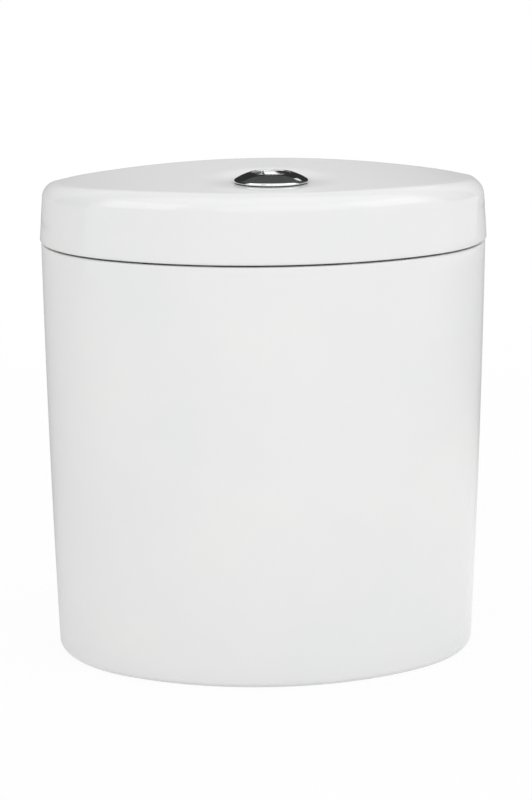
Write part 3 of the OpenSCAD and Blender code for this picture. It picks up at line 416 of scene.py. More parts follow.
def turned(name, profile, centre, ring_closed=True, steps=TURN_STEPS):
    """A round piece: a circle extruded and resized along a profile of (radius, height)."""
    clear_selection()
    radius, z = profile[0]
    fill = "NOTHING" if ring_closed else "NGON"
    bpy.ops.mesh.primitive_circle_add(
        vertices=steps, radius=radius, fill_type=fill, location=(*centre, z)
    )
    piece = named(name)
    bpy.ops.object.transform_apply(location=True, rotation=False, scale=False)
    bpy.ops.object.mode_set(mode="EDIT")
    for next_radius, next_z in profile[1:] + ([profile[0]] if ring_closed else []):
        bpy.ops.mesh.extrude_region_move(TRANSFORM_OT_translate={"value": (0, 0, next_z - z)})
        grow = next_radius / radius
        bpy.ops.transform.resize(value=(grow, grow, 1), center_override=(*centre, next_z))
        radius, z = next_radius, next_z
    close_mesh()
    return piece


def rounded_block(name, size, centre, turn, bevel, segments=3):
    """A block with every edge rounded, turned about the vertical and set in place."""
    clear_selection()
    bpy.ops.mesh.primitive_cube_add(size=1)
    piece = named(name)
    bpy.ops.object.mode_set(mode="EDIT")
    bpy.ops.transform.resize(value=size, center_override=(0, 0, 0))
    bpy.ops.mesh.bevel(offset=bevel, offset_type="OFFSET", segments=segments, affect="EDGES")
    bpy.ops.object.mode_set(mode="OBJECT")
    piece.matrix_world = Matrix.Translation(centre) @ Matrix.Rotation(turn, 4, "Z")
    bpy.ops.object.transform_apply(location=True, rotation=True, scale=True)
    return piece


def join(pieces):
    """Several meshes as one, in the first of them."""
    clear_selection()
    for piece in pieces:
        piece.select_set(True)
    bpy.context.view_layer.objects.active = pieces[0]
    if len(pieces) > 1:
        bpy.ops.object.join()
    return pieces[0]


def combine(piece, tool, operation):
    """A boolean with a tool that is deleted afterwards."""
    select_only(piece)
    modifier = piece.modifiers.new("combine", "BOOLEAN")
    modifier.operation = operation
    modifier.solver = "EXACT"
    modifier.object = tool
    bpy.ops.object.modifier_apply(modifier=modifier.name)
    bpy.data.meshes.remove(tool.data)


def smooth(piece, angle=40):
    """Smooth shading, with edges sharper than an angle left crisp."""
    select_only(piece)
    bpy.ops.object.shade_smooth_by_angle(angle=math.radians(angle))


def place(piece, body, slot, node):
    """Gives a piece its finish and its body, and lets it stand for a CAD node."""
    piece.data.materials.clear()
    piece.data.materials.append(finish(slot))
    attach(piece, body)
    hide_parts(node)


# Finishes


# Kinds of socket, and where a Mix node keeps its two inputs and its result
FLOAT, COLOUR, VECTOR = "NodeSocketFloat", "NodeSocketColor", "NodeSocketVector"
MIX_SOCKETS = {"RGBA": (6, 7, 2), "FLOAT": (2, 3, 0)}
WHITE = (1.0, 1.0, 1.0, 1.0)

# Share of its tone that a finish loses between its drawn lines
LINE_SHADE = 0.25


def add_node(tree, kind, inputs=None, **settings):
    """A node with its settings, and with its inputs set to values or linked to sockets."""
    node = tree.nodes.new(kind)
    for key, value in settings.items():
        setattr(node, key, value)
    for key, value in (inputs or {}).items():
        if isinstance(value, bpy.types.NodeSocket):
            tree.links.new(value, node.inputs[key])
        else:
            node.inputs[key].default_value = value
    return node


def maths(tree, operation, first, second):
    """Two values taken together."""
    return add_node(tree, "ShaderNodeMath", {0: first, 1: second}, operation=operation).outputs[0]


def stretched(tree, source, start, end=(0.0, 1.0)):
    """A value moved from one range to another."""
    ends = dict(zip(("From Min", "From Max", "To Min", "To Max"), (*start, *end)))
    return add_node(tree, "ShaderNodeMapRange", {"Value": source, **ends}).outputs["Result"]


def mixed(tree, factor, first, second, kind="RGBA", blend="MIX"):
    """Two colours or two values, mixed by a factor."""
    first_at, second_at, result_at = MIX_SOCKETS[kind]
    inputs = {"Factor": factor, first_at: first, second_at: second}
    node = add_node(tree, "ShaderNodeMix", inputs, data_type=kind, blend_type=blend)
    return node.outputs[result_at]


def mixed_shaders(tree, factor, first, second):
    """Two shaders, mixed by a factor."""
    inputs = {0: factor, 1: first.outputs[0], 2: second.outputs[0]}
    return add_node(tree, "ShaderNodeMixShader", inputs).outputs[0]


def noise(tree, spot, scale, detail, roughness):
    """Even noise over a surface."""
    inputs = {"Vector": spot, "Scale": scale, "Detail": detail, "Roughness": roughness}
    return add_node(tree, "ShaderNodeTexNoise", inputs).outputs["Fac"]


def new_group(name, inputs, outputs):
    """An empty shader group: its tree, its given values, its results and the spot on the piece."""
    group = bpy.data.node_groups.new(name, "ShaderNodeTree")
    for socket, kind, default in inputs:
        made = group.interface.new_socket(name=socket, in_out="INPUT", socket_type=kind)
        made.default_value = default
    for socket, kind in outputs:
        group.interface.new_socket(name=socket, in_out="OUTPUT", socket_type=kind)
    given = group.nodes.new("NodeGroupInput").outputs
    results = group.nodes.new("NodeGroupOutput").inputs
    return group, given, results, group.nodes.new("ShaderNodeTexCoord").outputs["Object"]


def mottle_group(name):
    """Cloudy change of tone and gloss, with a fine skin: shared by every finish."""
    group, given, results, spot = new_group(
        name,
        [
            ("Colour", COLOUR, (0.8, 0.8, 0.8, 1.0)),
            ("Deep colour", COLOUR, (0.7, 0.7, 0.7, 1.0)),
            ("Cloud scale", FLOAT, 20.0),
            ("Skin scale", FLOAT, 400.0),
            ("Gloss low", FLOAT, 0.1),
            ("Gloss high", FLOAT, 0.2),
        ],
        [("Colour", COLOUR), ("Roughness", FLOAT), ("Height", FLOAT)],
    )
    clouds = noise(group, spot, given["Cloud scale"], detail=4.0, roughness=0.55)
    skin = noise(group, spot, given["Skin scale"], detail=2.0, roughness=0.5)
    mask = stretched(group, clouds, (0.35, 0.68))
    tone = mixed(group, mask, given["Colour"], given["Deep colour"])
    gloss = mixed(group, mask, given["Gloss low"], given["Gloss high"], "FLOAT")
    for source, socket in ((tone, "Colour"), (gloss, "Roughness"), (skin, "Height")):
        group.links.new(source, results[socket])
    return group


def specks_group(name):
    """Rare small specks, as a mask: pinholes in a glaze or dust in a moulding."""
    bare_share = 0.86
    group, given, results, spot = new_group(
        name, [("Scale", FLOAT, 120.0), ("Size", FLOAT, 0.08)], [("Mask", FLOAT)]
    )
    inputs = {"Vector": spot, "Scale": given["Scale"]}
    cells = add_node(group, "ShaderNodeTexVoronoi", inputs, feature="F1").outputs
    near = maths(group, "LESS_THAN", cells["Distance"], given["Size"])
    pick = add_node(group, "ShaderNodeSeparateColor", {0: cells["Color"]}).outputs[0]
    rare = maths(group, "GREATER_THAN", pick, bare_share)
    group.links.new(maths(group, "MULTIPLY", near, rare), results["Mask"])
    return group


def lines_group(name):
    """Long fine lines along one axis, as on drawn wire."""
    group, given, results, spot = new_group(
        name, [("Scale", VECTOR, (900.0, 900.0, 30.0))], [("Mask", FLOAT)]
    )
    inputs = {0: spot, 1: given["Scale"]}
    long_spot = add_node(group, "ShaderNodeVectorMath", inputs, operation="MULTIPLY").outputs[0]
    streaks = noise(group, long_spot, 1.0, detail=3.0, roughness=0.6)
    group.links.new(stretched(group, streaks, (0.3, 0.7)), results["Mask"])
    return group


EFFECTS = {
    "Surface mottle": mottle_group,
    "Small specks": specks_group,
    "Drawn lines": lines_group,
}


def effect(tree, name, inputs):
    """A shader group, built once and placed in a material with its own values."""
    group = bpy.data.node_groups.get(name) or EFFECTS[name](name)
    return add_node(tree, "ShaderNodeGroup", inputs, node_tree=group).outputs


def finish_material(
    name, tones, clouds, skin, gloss, bump, metallic=0.0, lines=None, specks=None
):
    """A finish with mottled tone and gloss, a bumpy skin, and lines or specks where it has them."""
    colours = bpy.context.scene.cistern_finishes
    plain, deep = ((*getattr(colours, tone), 1.0) for tone in tones)
    material = bpy.data.materials.new(name)
    material.use_nodes = True
    tree = material.node_tree
    shader = tree.nodes["Principled BSDF"].inputs
    shader["Metallic"].default_value = metallic
    mottle = effect(tree, "Surface mottle", {
        "Colour": plain,
        "Deep colour": deep,
        "Cloud scale": clouds,
        "Skin scale": skin,
        "Gloss low": gloss[0],
        "Gloss high": gloss[1],
    })
    tone, height = mottle["Colour"], mottle["Height"]
    if lines:
        height = effect(tree, "Drawn lines", {"Scale": lines})["Mask"]
        tone = mixed(tree, LINE_SHADE, tone, height, blend="MULTIPLY")
    if specks:
        scale, size, speck_tone = specks
        dots = effect(tree, "Small specks", {"Scale": scale, "Size": size})["Mask"]
        tone = mixed(tree, dots, tone, (*speck_tone, 1.0))
    strength, depth = bump
    relief = {"Strength": strength, "Distance": depth, "Height": height}
    normal = add_node(tree, "ShaderNodeBump", relief).outputs["Normal"]
    tree.links.new(tone, shader["Base Color"])
    tree.links.new(mottle["Roughness"], shader["Roughness"])
    tree.links.new(normal, shader["Normal"])
    return material


# Each finish: its plain and deep tone, the scales of its clouds and skin, its least and most
# roughness, and the strength and depth of its bump; specks have a scale, a size and a tone
FINISHES = {
    "White glaze": {
        "tones": ("glaze", "glaze_deep"), "clouds": 9.0, "skin": 140.0,
        "gloss": (0.05, 0.10), "bump": (0.02, 0.0004),
        "specks": (55.0, 0.016, (0.55, 0.53, 0.50)),
    },
    "Chrome plating": {
        "tones": ("chrome", "chrome_dull"), "clouds": 160.0, "skin": 900.0,
        "gloss": (0.05, 0.12), "bump": (0.01, 0.0001), "metallic": 1.0,
    },
    "White moulding": {
        "tones": ("white", "white_deep"), "clouds": 30.0, "skin": 1500.0,
        "gloss": (0.32, 0.45), "bump": (0.12, 0.0002),
        "specks": (140.0, 0.03, (0.45, 0.42, 0.36)),
    },
    "Grey moulding": {
        "tones": ("grey", "grey_deep"), "clouds": 30.0, "skin": 1500.0,
        "gloss": (0.35, 0.50), "bump": (0.15, 0.0002),
    },
    "Blue moulding": {
        "tones": ("blue", "blue_deep"), "clouds": 35.0, "skin": 1500.0,
        "gloss": (0.28, 0.42), "bump": (0.12, 0.0002),
    },
    "Black rubber": {
        "tones": ("rubber", "rubber_dusty"), "clouds": 90.0, "skin": 1200.0,
        "gloss": (0.65, 0.85), "bump": (0.30, 0.0003),
    },
    "Drawn steel": {
        "tones": ("steel", "steel_dull"), "clouds": 120.0, "skin": 900.0,
        "gloss": (0.22, 0.36), "bump": (0.08, 0.0001), "metallic": 1.0,
        "lines": (700.0, 700.0, 60.0),
    },
}
SLOT_FINISH = {
    "glazed_white": "White glaze",
    "chrome": "Chrome plating",
    "steel": "Drawn steel",
    "black_rubber": "Black rubber",
    "blue_plastic": "Blue moulding",
    "grey_plastic": "Grey moulding",
    "white_plastic": "White moulding",
}


def finish(slot):
    """The finish of a material slot, made the first time that it is asked for."""
    name = SLOT_FINISH[slot]
    return bpy.data.materials.get(name) or finish_material(name, **FINISHES[name])


def dress(slot):
    """Gives every CAD node of a material slot its finish."""
    material = finish(slot)
    for entry in frame["record"]["subparts"]:
        if entry["material_slot"] == slot:
            piece = frame["nodes"][entry["node"]]
            piece.data.materials.clear()
            piece.data.materials.append(material)


# Shapes of the glazed pieces


def ease(u):
    """Smooth step from 0 to 1."""
    u = min(max(u, 0), 1)
    return u * u * (3 - 2 * u)


def roof_height(tank, lid, x, y):
    """Sloping, crowned top of the lid."""
    front = tank.front - lid.overhang
    v = (y - front) / (lid.back - front)
    rise = lid.front_height + (lid.back_height - lid.front_height) * v
    crown = lid.crown_front + (lid.crown_back - lid.crown_front) * v
    return tank.height + rise - crown * (x / (tank.width / 2 + lid.overhang)) ** 2


def seat_height(tank, lid, buttons):
    """Height of the flat button seat."""
    return roof_height(tank, lid, 0, buttons.axis_y) - lid.seat_sink


def top_height(tank, lid, buttons, x, y):
    """The lid's top with the flat seat blended in."""
    seat_z = seat_height(tank, lid, buttons)
    blend = ease((math.hypot(x, y - buttons.axis_y) - lid.seat) / lid.seat_blend)
    return seat_z + (roof_height(tank, lid, x, y) - seat_z) * blend


def top_edge_radius(tank, lid, x, y):
    """Radius of the lid's top edge: the same all round, but smaller in the middle of the back."""
    if y < lid.back - tank.corner / 2:
        return lid.edge
    inner = tank.width / 2 + lid.overhang - lid.back_edge_in - abs(x)
    return lid.edge + (lid.back_edge - lid.edge) * ease(inner / lid.back_edge_blend)


def lid_edge(tank, lid, buttons):
    """Rings of the lid's rounded top edge, from the side to where it runs smoothly into the top."""
    steps = LID_EDGE_RINGS
    probe = 0.0005
    outer = lid_outline(tank, lid, lid.lean)
    inner = lid_outline(tank, lid, lid.lean + lid.edge)
    side_turn = math.atan2(lid.lean, lid.front_height - lid.edge)
    rings = [[] for _ in range(steps + 1)]
    for start, end in zip(outer, inner):
        start = Vector(start)
        step = (Vector(end) - start) / lid.edge
        radius = top_edge_radius(tank, lid, *start)
        brink = start + step * radius
        here = top_height(tank, lid, buttons, *brink)
        slope = (top_height(tank, lid, buttons, *(brink + step * probe)) - here) / probe
        end_turn = RIGHT_ANGLE - math.atan(slope)
        finish_at = start + step * radius * (1 - math.cos(end_turn))
        middle_z = top_height(tank, lid, buttons, *finish_at) - radius * math.sin(end_turn)
        for i in range(steps + 1):
            t = side_turn + (end_turn - side_turn) * i / steps
            point = start + step * radius * (1 - math.cos(t))
            rings[i].append(Vector((*point, middle_z + radius * math.sin(t))))
    return rings


def lid_rings(tank, lid, buttons):
    """Rings of the whole lid: outside, top, button hole, boss, roof and inside."""
    centre = Vector((0, buttons.axis_y))
    seat_z = seat_height(tank, lid, buttons)
    boss_z = seat_z - lid.boss_depth
    hole_round, boss_round, boss_fillet, inner_foot = 0.0008, 0.0015, 0.002, 0.002
    hole_collar = hole_round * 3
    edge = lid_edge(tank, lid, buttons)
    brink = edge[-1]
    around = [(point.x, point.y) for point in brink]

    def wall_ring(inset, z):
        """A level ring along the lid's outline."""
        return level(lid_outline(tank, lid, inset), z)

    def hole_ring(radius, z):
        """A level ring round the button's axis."""
        return circle_ring(around, centre, radius, z)

    def under(ring):
        """A ring moved to the underside of the roof."""
        for point in ring:
            point.z = roof_height(tank, lid, point.x, point.y) - lid.roof
        return ring

    rings = [wall_ring(fall, lid.bottom + rise) for fall, rise in quarter(lid.foot, steps=5)]
    side_low = rings[-1]
    for i in range(1, LID_SIDE_RINGS):
        part = i / LID_SIDE_RINGS
        rings.append([low.lerp(high, part) for low, high in zip(side_low, edge[0])])
    rings += edge
    for part in TOP_SHARES:
        ring = []
        for point in brink:
            out = point.xy - centre
            flat = centre + out.normalized() * (lid.seat + (out.length - lid.seat) * part)
            ring.append(Vector((*flat, top_height(tank, lid, buttons, *flat))))
        rings.append(ring)
    rings.append(hole_ring(lid.hole + hole_collar, seat_z))
    for fall, rise in quarter(hole_round, steps=3):
        rings.append(hole_ring(lid.hole + fall, seat_z - rise))
    rings += [hole_ring(lid.hole, boss_z), hole_ring(lid.boss - boss_round, boss_z)]
    for fall, rise in quarter(boss_round, steps=3)[1:]:
        rings.append(hole_ring(lid.boss - fall, boss_z + rise))
    root = under(hole_ring(lid.boss + boss_fillet, 0))
    rings.append([Vector((p.x, p.y, r.z - boss_fillet)) for p, r in zip(rings[-1], root)])
    rings.append(root)
    inner = lid_outline(tank, lid, lid.wall + lid.roof_round)
    for part in ROOF_SHARES:
        rings.append(under(towards_circle(inner, centre, lid.boss + boss_fillet, part, 0)))
    roof_edge = rings[-1]
    for fall, rise in reversed(quarter(lid.roof_round, steps=8)[:-1]):
        outline = lid_outline(tank, lid, lid.wall + rise)
        rings.append([Vector((x, y, top.z - fall)) for (x, y), top in zip(outline, roof_edge)])
    rings.append(wall_ring(lid.wall, lid.bottom + inner_foot))
    for fall, rise in quarter(inner_foot, steps=3)[1:]:
        rings.append(wall_ring(lid.wall - rise, lid.bottom + fall))
    return rings


def tank_rings(tank, buttons):
    """Rings of the whole tank: foot, outside, rim, inside, base panel, outlet and skirt."""
    centre = Vector((0, buttons.axis_y))
    floor_z = tank.skirt + tank.base
    skirt_round = 0.003

    def wall_ring(z, inset):
        """A level ring along the tank's outline."""
        return level(tank_outline(tank, z, inset), z)

    rings = [wall_ring(rise, fall) for fall, rise in quarter(tank.foot_round, steps=6)]
    side = tank.height - tank.rim_round - tank.foot_round
    for i in range(1, TANK_SIDE_RINGS + 1):
        rings.append(wall_ring(tank.foot_round + side * i / TANK_SIDE_RINGS, 0))
    for fall, rise in quarter(tank.rim_round, steps=4)[1:]:
        rings.append(wall_ring(tank.height - fall, rise))
    for fall, rise in quarter(tank.rim_round_in, steps=4):
        rings.append(wall_ring(tank.height - rise, tank.wall - fall))
    top = tank.height - tank.rim_round_in
    inside = floor_z + tank.floor_round - top
    for i in range(1, TANK_INSIDE_RINGS + 1):
        rings.append(wall_ring(top + inside * i / TANK_INSIDE_RINGS, tank.wall))
    for fall, rise in quarter(tank.floor_round, steps=5)[1:]:
        rings.append(wall_ring(floor_z + fall, tank.wall + rise))
    floor = tank_outline(tank, floor_z, tank.wall + tank.floor_round)
    for part in BASE_SHARES[1:]:
        rings.append(towards_circle(floor, centre, tank.outlet_hole, part, floor_z))
    under = tank_outline(tank, tank.skirt, tank.skirt_wall + skirt_round)
    for part in reversed(BASE_SHARES):
        rings.append(towards_circle(under, centre, tank.outlet_hole, part, tank.skirt))
    for fall, rise in quarter(skirt_round, steps=4)[1:]:
        rings.append(wall_ring(tank.skirt - rise, tank.skirt_wall + fall))
    for fall, rise in quarter(skirt_round / 2, steps=3):
        rings.append(wall_ring(fall, tank.skirt_wall - rise))
    return rings


def drill(name, radius, flare, low, high, centre):
    """A drill with a flared mouth at both ends of its cut."""
    reach = 0.002
    profile = [
        (radius + flare + reach, low - reach),
        (radius + flare, low),
        (radius, low + flare),
        (radius, high - flare),
        (radius + flare, high),
        (radius + flare + reach, high + reach),
    ]
    return turned(name, profile, centre, ring_closed=False, steps=DRILL_STEPS)


def sizes(context):
    """Sizes of the tank, the lid and the push button."""
    scene = context.scene
    return scene.cistern_tank, scene.cistern_lid, scene.cistern_buttons


class CISTERN_OT_tank(bpy.types.Operator):
    """Model the glazed tank with its outlet, inlet, bolt and screw holes"""

    bl_idname = "cistern.tank"
    bl_label = "Tank"

    def execute(self, context):
        tank, _, buttons = sizes(context)
        flare, notch_room, notch_round = 0.0012, 0.0028, 0.004
        piece = through_rings("glazed_tank", tank_rings(tank, buttons), ring_closed=True)
        low, high = tank.skirt, tank.skirt + tank.base
        drills = []
        for side in (-1, 1):
            inlet = (side * tank.inlet_x, tank.inlet_y)
            bolt = (side * tank.bolt_x, buttons.axis_y)
            drills.append(drill("inlet_drill", tank.inlet_hole, flare, low, high, inlet))
            drills.append(drill("bolt_drill", tank.bolt_hole, flare, low, high, bolt))
            screw = drill("screw_drill", tank.screw_hole, flare, -tank.wall, 0, (0, 0))
            screw.matrix_world = (
                Matrix.Translation((side * tank.screw_x, tank.back, tank.screw_z))
                @ Matrix.Rotation(-RIGHT_ANGLE, 4, "X")
            )
            select_only(screw)
            bpy.ops.object.transform_apply(location=True, rotation=True, scale=True)
            drills.append(screw)
        notch_in = tank.skirt_wall + notch_room
        notch_deep = 2 * tank.skirt
        drills.append(rounded_block(
            "pipe_notch",
            (2 * tank.pipe_gap, 2 * notch_in, notch_deep),
            (0, tank.back, tank.skirt - notch_deep / 2),
            turn=0.0, bevel=notch_round,
        ))
        combine(piece, join(drills), "DIFFERENCE")
        smooth(piece)
        place(piece, "cistern", "glazed_white", "tank")
        return {"FINISHED"}


class CISTERN_OT_lid(bpy.types.Operator):
    """Model the glazed lid with its button hole, boss and locating lugs"""

    bl_idname = "cistern.lid"
    bl_label = "Lid"

    def execute(self, context):
        tank, lid, buttons = sizes(context)
        front_turn = math.radians(16)
        lug_root, lug_round = 0.020, 0.0015
        shoulder_step, shoulder_inset = 0.001, 0.0004
        piece = through_rings("glazed_lid", lid_rings(tank, lid, buttons), ring_closed=True)
        arc = front_radius(tank.width / 2, tank.bow, tank.corner)
        low = tank.height - lid.lug_drop
        high = lid.bottom + lug_root
        grip = lid.lug_gap + lid.wall / 2
        spots = []
        for side in (-1, 1):
            out = tank.width / 2 - tank.wall - lid.lug_gap
            spots.append((Vector((side * out, tank.front + tank.bow)), Vector((side, 0))))
            away = Vector((side * math.sin(front_turn), -math.cos(front_turn)))
            foot = Vector((0, tank.front + arc)) + away * (arc - tank.wall - lid.lug_gap)
            spots.append((foot, away))
        lugs = []
        for spot, away in spots:
            turn = math.atan2(away.y, away.x)
            middle = spot - away * lid.lug_thick / 2
            lugs.append(rounded_block(
                "lug",
                (lid.lug_thick, lid.lug_length, high - low),
                (*middle, (low + high) / 2),
                turn=turn, bevel=lug_round,
            ))
            shoulder = spot + away * (grip / 2 - lid.lug_thick / 4)
            shoulder_low = lid.bottom + shoulder_step
            lugs.append(rounded_block(
                "shoulder",
                (
                    grip + lid.lug_thick / 2,
                    lid.lug_length - shoulder_inset,
                    high - shoulder_low - shoulder_inset,
                ),
                (*shoulder, (shoulder_low + high) / 2),
                turn=turn, bevel=lug_round,
            ))
        for lug in lugs:
            combine(piece, lug, "UNION")
        smooth(piece)
        place(piece, "lid", "glazed_white", "lid")
        return {"FINISHED"}


def bezel_base(tank, lid, buttons):
    """Height of the bezel's underside, on its gasket."""
    return seat_height(tank, lid, buttons) + buttons.gasket


def cap_top(tank, lid, buttons):
    """Height of the edge of the solids' button tops."""
    return bezel_base(tank, lid, buttons) + buttons.bezel_height - buttons.cap_sink


def bezel_top(buttons):
    """Half section of the bezel's top: a round edge that runs smoothly into the dome's arc."""
    edge_steps, dome_steps = 10, 20
    rim = Vector((buttons.well + buttons.well_rim, buttons.bezel_height))
    edge = Vector((buttons.bezel - buttons.bezel_round, buttons.bezel_edge))
    out = Vector((math.sin(buttons.rim_slope), math.cos(buttons.rim_slope)))
    reach = rim - edge
    rise = reach.dot(out) - buttons.bezel_round
    radius = (reach.length_squared - buttons.bezel_round ** 2) / (2 * rise)
    middle = rim - radius * out
    meet = math.atan2(edge.x - middle.x, edge.y - middle.y)

    def arc(centre, size, start, end, steps):
        """Points of an arc, by angles from the vertical."""
        turns = [start + (end - start) * i / steps for i in range(steps + 1)]
        return [(centre.x + size * math.sin(t), centre.y + size * math.cos(t)) for t in turns]

    return (
        arc(edge, buttons.bezel_round, RIGHT_ANGLE, meet, edge_steps)
        + arc(middle, radius, meet, buttons.rim_slope, dome_steps)[1:]
    )


class CISTERN_OT_bezel(bpy.types.Operator):
    """Turn the domed chrome bezel with its well and threaded shank"""

    bl_idname = "cistern.bezel"
    bl_label = "Button bezel"

    def execute(self, context):
        tank, lid, buttons = sizes(context)
        base = bezel_base(tank, lid, buttons)
        edge_round, lip, chamfer, thread_depth = 0.0003, 0.00025, 0.0008, 0.0007
        profile = [(buttons.shank, base)]
        for fall, rise in quarter(edge_round, steps=3):
            profile.append((buttons.bezel - fall, base + rise))
        profile += [(r, base + z) for r, z in bezel_top(buttons)]
        top = base + buttons.bezel_height
        for fall, rise in quarter(lip, steps=3):
            profile.append((buttons.well + fall, top - rise))
        foot = base - buttons.shank_length
        profile += [(buttons.well, foot), (buttons.shank - chamfer, foot)]
        pitch = buttons.thread
        z = foot + chamfer
        while z + pitch < base - pitch:
            for along, deep in THREAD_FORM:
                profile.append((buttons.shank - thread_depth * deep, z + pitch * along))
            z += pitch
        piece = turned("chrome_bezel", profile, (0, buttons.axis_y))
        smooth(piece, angle=32)
        place(piece, "lid", "chrome", "button_bezel")
        return {"FINISHED"}


def segment_outline(radius, cut, sign, inset):
    """Outline of the part of a round button beyond a straight cut, moved in by an edge."""
    arc_steps, chord_steps = 56, 20
    reach, line = radius - inset, cut + sign * inset
    turn = math.acos(max(min(sign * line / reach, 1), -1))
    points = []
    for i in range(arc_steps):
        t = -turn + 2 * turn * i / arc_steps
        points.append((sign * reach * math.cos(t), sign * reach * math.sin(t)))
    start = Vector((sign * reach * math.cos(turn), sign * reach * math.sin(turn)))
    end = Vector((start.x, -start.y))
    for i in range(chord_steps):
        points.append(tuple(start.lerp(end, i / chord_steps)))
    return points


class CISTERN_OT_buttons(bpy.types.Operator):
    """Model the two dished buttons on either side of the split"""

    bl_idname = "cistern.buttons"
    bl_label = "Push buttons"

    def execute(self, context):
        tank, lid, buttons = sizes(context)
        top = cap_top(tank, lid, buttons)
        foot = top - buttons.cap_height
        dish_r = (buttons.cap ** 2 + buttons.dish ** 2) / (2 * buttons.dish)
        dish_z = top + buttons.dish_rise - buttons.dish + dish_r
        edge, hollow = 0.0005, 0.002

        def dished(point, drop=0.0):
            """A point of the plan, on the dished top or a little below it."""
            x, y = point
            return Vector((x, y, dish_z - math.sqrt(dish_r ** 2 - x * x - y * y) - drop))

        for sign, name, body, node, rod_x in (
            (1, "full_button_cap", "full_button", "full_flush_button", buttons.full_x),
            (-1, "half_button_cap", "half_button", "half_flush_button", buttons.half_x),
        ):
            cut = buttons.split_x + sign * buttons.split_gap / 2
            hub = Vector((rod_x, 0))
            inner = segment_outline(buttons.cap, cut, sign, hollow)
            skirt = segment_outline(buttons.cap, cut, sign, 0)
            brink = segment_outline(buttons.cap, cut, sign, edge)
            hollow_z = top - buttons.dish - hollow
            rings = [
                [Vector((*hub.lerp(Vector(p), part), hollow_z)) for p in inner]
                for part in HOLLOW_SHARES
            ]
            rings += [level(inner, foot), level(skirt, foot), [dished(p, edge) for p in skirt]]
            for fall, rise in quarter(edge, steps=4)[1:]:
                outline = segment_outline(buttons.cap, cut, sign, rise)
                rings.append([dished(p, fall) for p in outline])
            for part in DISH_SHARES:
                rings.append([dished(hub.lerp(Vector(p), part)) for p in brink])
            shift = Vector((0, buttons.axis_y, 0))
            piece = through_rings(name, [[point + shift for point in ring] for ring in rings])
            smooth(piece, angle=32)
            place(piece, body, "chrome", node)
        return {"FINISHED"}


class CISTERN_OT_springs(bpy.types.Operator):
    """Wind the two return springs"""

    bl_idname = "cistern.springs"
    bl_label = "Return springs"

    def execute(self, context):
        tank, lid, buttons = sizes(context)
        low = buttons.spring_low
        high = cap_top(tank, lid, buttons) - buttons.cap_height
        tall = high - low
        turns, per_turn, sides = 5, 28, 10
        count = turns * per_turn
        up = Vector((0, 0, 1))
        for x, name, node, joint in (
            (buttons.full_x, "full_spring_wire", "full_button_spring", "full_flush_press"),
            (buttons.half_x, "half_spring_wire", "half_button_spring", "half_flush_press"),
        ):
            centre = Vector((x, buttons.axis_y, 0))
            rings = []
            for i in range(count + 1):
                t = 2 * math.pi * i / per_turn
                out = Vector((math.cos(t), math.sin(t), 0))
                z = low + buttons.wire + (tall - 2 * buttons.wire) * i / count
                middle = centre + out * buttons.coil + up * z
                ring = []
                for k in range(sides):
                    a = 2 * math.pi * k / sides
                    ring.append(middle + buttons.wire * (out * math.cos(a) + up * math.sin(a)))
                rings.append(ring)
            piece = through_rings(name, rings)
            smooth(piece, angle=60)
            place(piece, "lid", "steel", node)
            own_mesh(piece)
        return {"FINISHED"}


class CISTERN_OT_white_mouldings(bpy.types.Operator):
    """Dress the white mouldings of both valves, the plugged inlet and the button's fixing"""

    bl_idname = "cistern.white_mouldings"
    bl_label = "White mouldings"

    def execute(self, context):
        dress("white_plastic")
        return {"FINISHED"}


class CISTERN_OT_grey_mouldings(bpy.types.Operator):
    """Dress the grey mouldings: cage, overflow, float arm, discharge tube and inlet filter"""

    bl_idname = "cistern.grey_mouldings"
    bl_label = "Grey mouldings"

    def execute(self, context):
        dress("grey_plastic")
        return {"FINISHED"}


class CISTERN_OT_blue_mouldings(bpy.types.Operator):
    """Dress the blue mouldings: deck, rockers, the fill valve's cap and the adjusters"""

    bl_idname = "cistern.blue_mouldings"
    bl_label = "Blue mouldings"

    def execute(self, context):
        dress("blue_plastic")
        return {"FINISHED"}


class CISTERN_OT_seals(bpy.types.Operator):
    """Dress the rubber seals, washers, pads and the diaphragm"""

    bl_idname = "cistern.seals"
    bl_label = "Seals"

    def execute(self, context):
        dress("black_rubber")
        return {"FINISHED"}


class CISTERN_OT_pins(bpy.types.Operator):
    """Dress the steel pins"""

    bl_idname = "cistern.pins"
    bl_label = "Steel pins"

    def execute(self, context):
        dress("steel")
        return {"FINISHED"}


# Stage

# Camera at the photograph's viewing angle: its place, its turns in radians, its lens and sensor
# in millimetres, and the nearest distance that it sees
CAMERA_PLACE = (-0.1615, -2.1176, 0.6782)
CAMERA_TILT, CAMERA_YAW, CAMERA_ROLL = 0.2116, 0.0745, 0.0057
CAMERA_LENS, CAMERA_SENSOR, CAMERA_NEAR = 118.99, 36.0, 0.05

# The paper floor: its size, and the distances from its middle where it starts and ends fading
# to plain white
FLOOR_SIZE = 12
FLOOR_FADE = (0.5, 1.6)

# Softboxes: size, place and the point that each looks at
MIDDLE = (0.0, 0.0, 0.2)
SOFTBOXES = {
    "key": ((3.2, 1.8), (0.4, -2.8, 1.5), MIDDLE),
    "overhead": ((2.6, 2.0), (0.7, 0.1, 2.6), MIDDLE),
    "rear": ((5.5, 3.58), (0.0, 2.1, 1.71), (0.0, 0.41, 1.11)),
    "left": ((2.0, 1.8), (-2.4, -1.4, 1.8), MIDDLE),
    "right": ((2.0, 1.8), (2.4, -1.4, 1.8), MIDDLE),
}

# Strip lamps that light the button caps alone: power, size, place and the point each looks at
BUTTON = (0.0, -0.022, 0.41)
GLINTS = {
    "full_glint": (0.21, (0.085, 0.64), (0.1925, 2.4, 1.09), BUTTON),
    "half_glint": (0.07, (0.10, 0.64), (0.32, 2.4, 1.09), BUTTON),
}

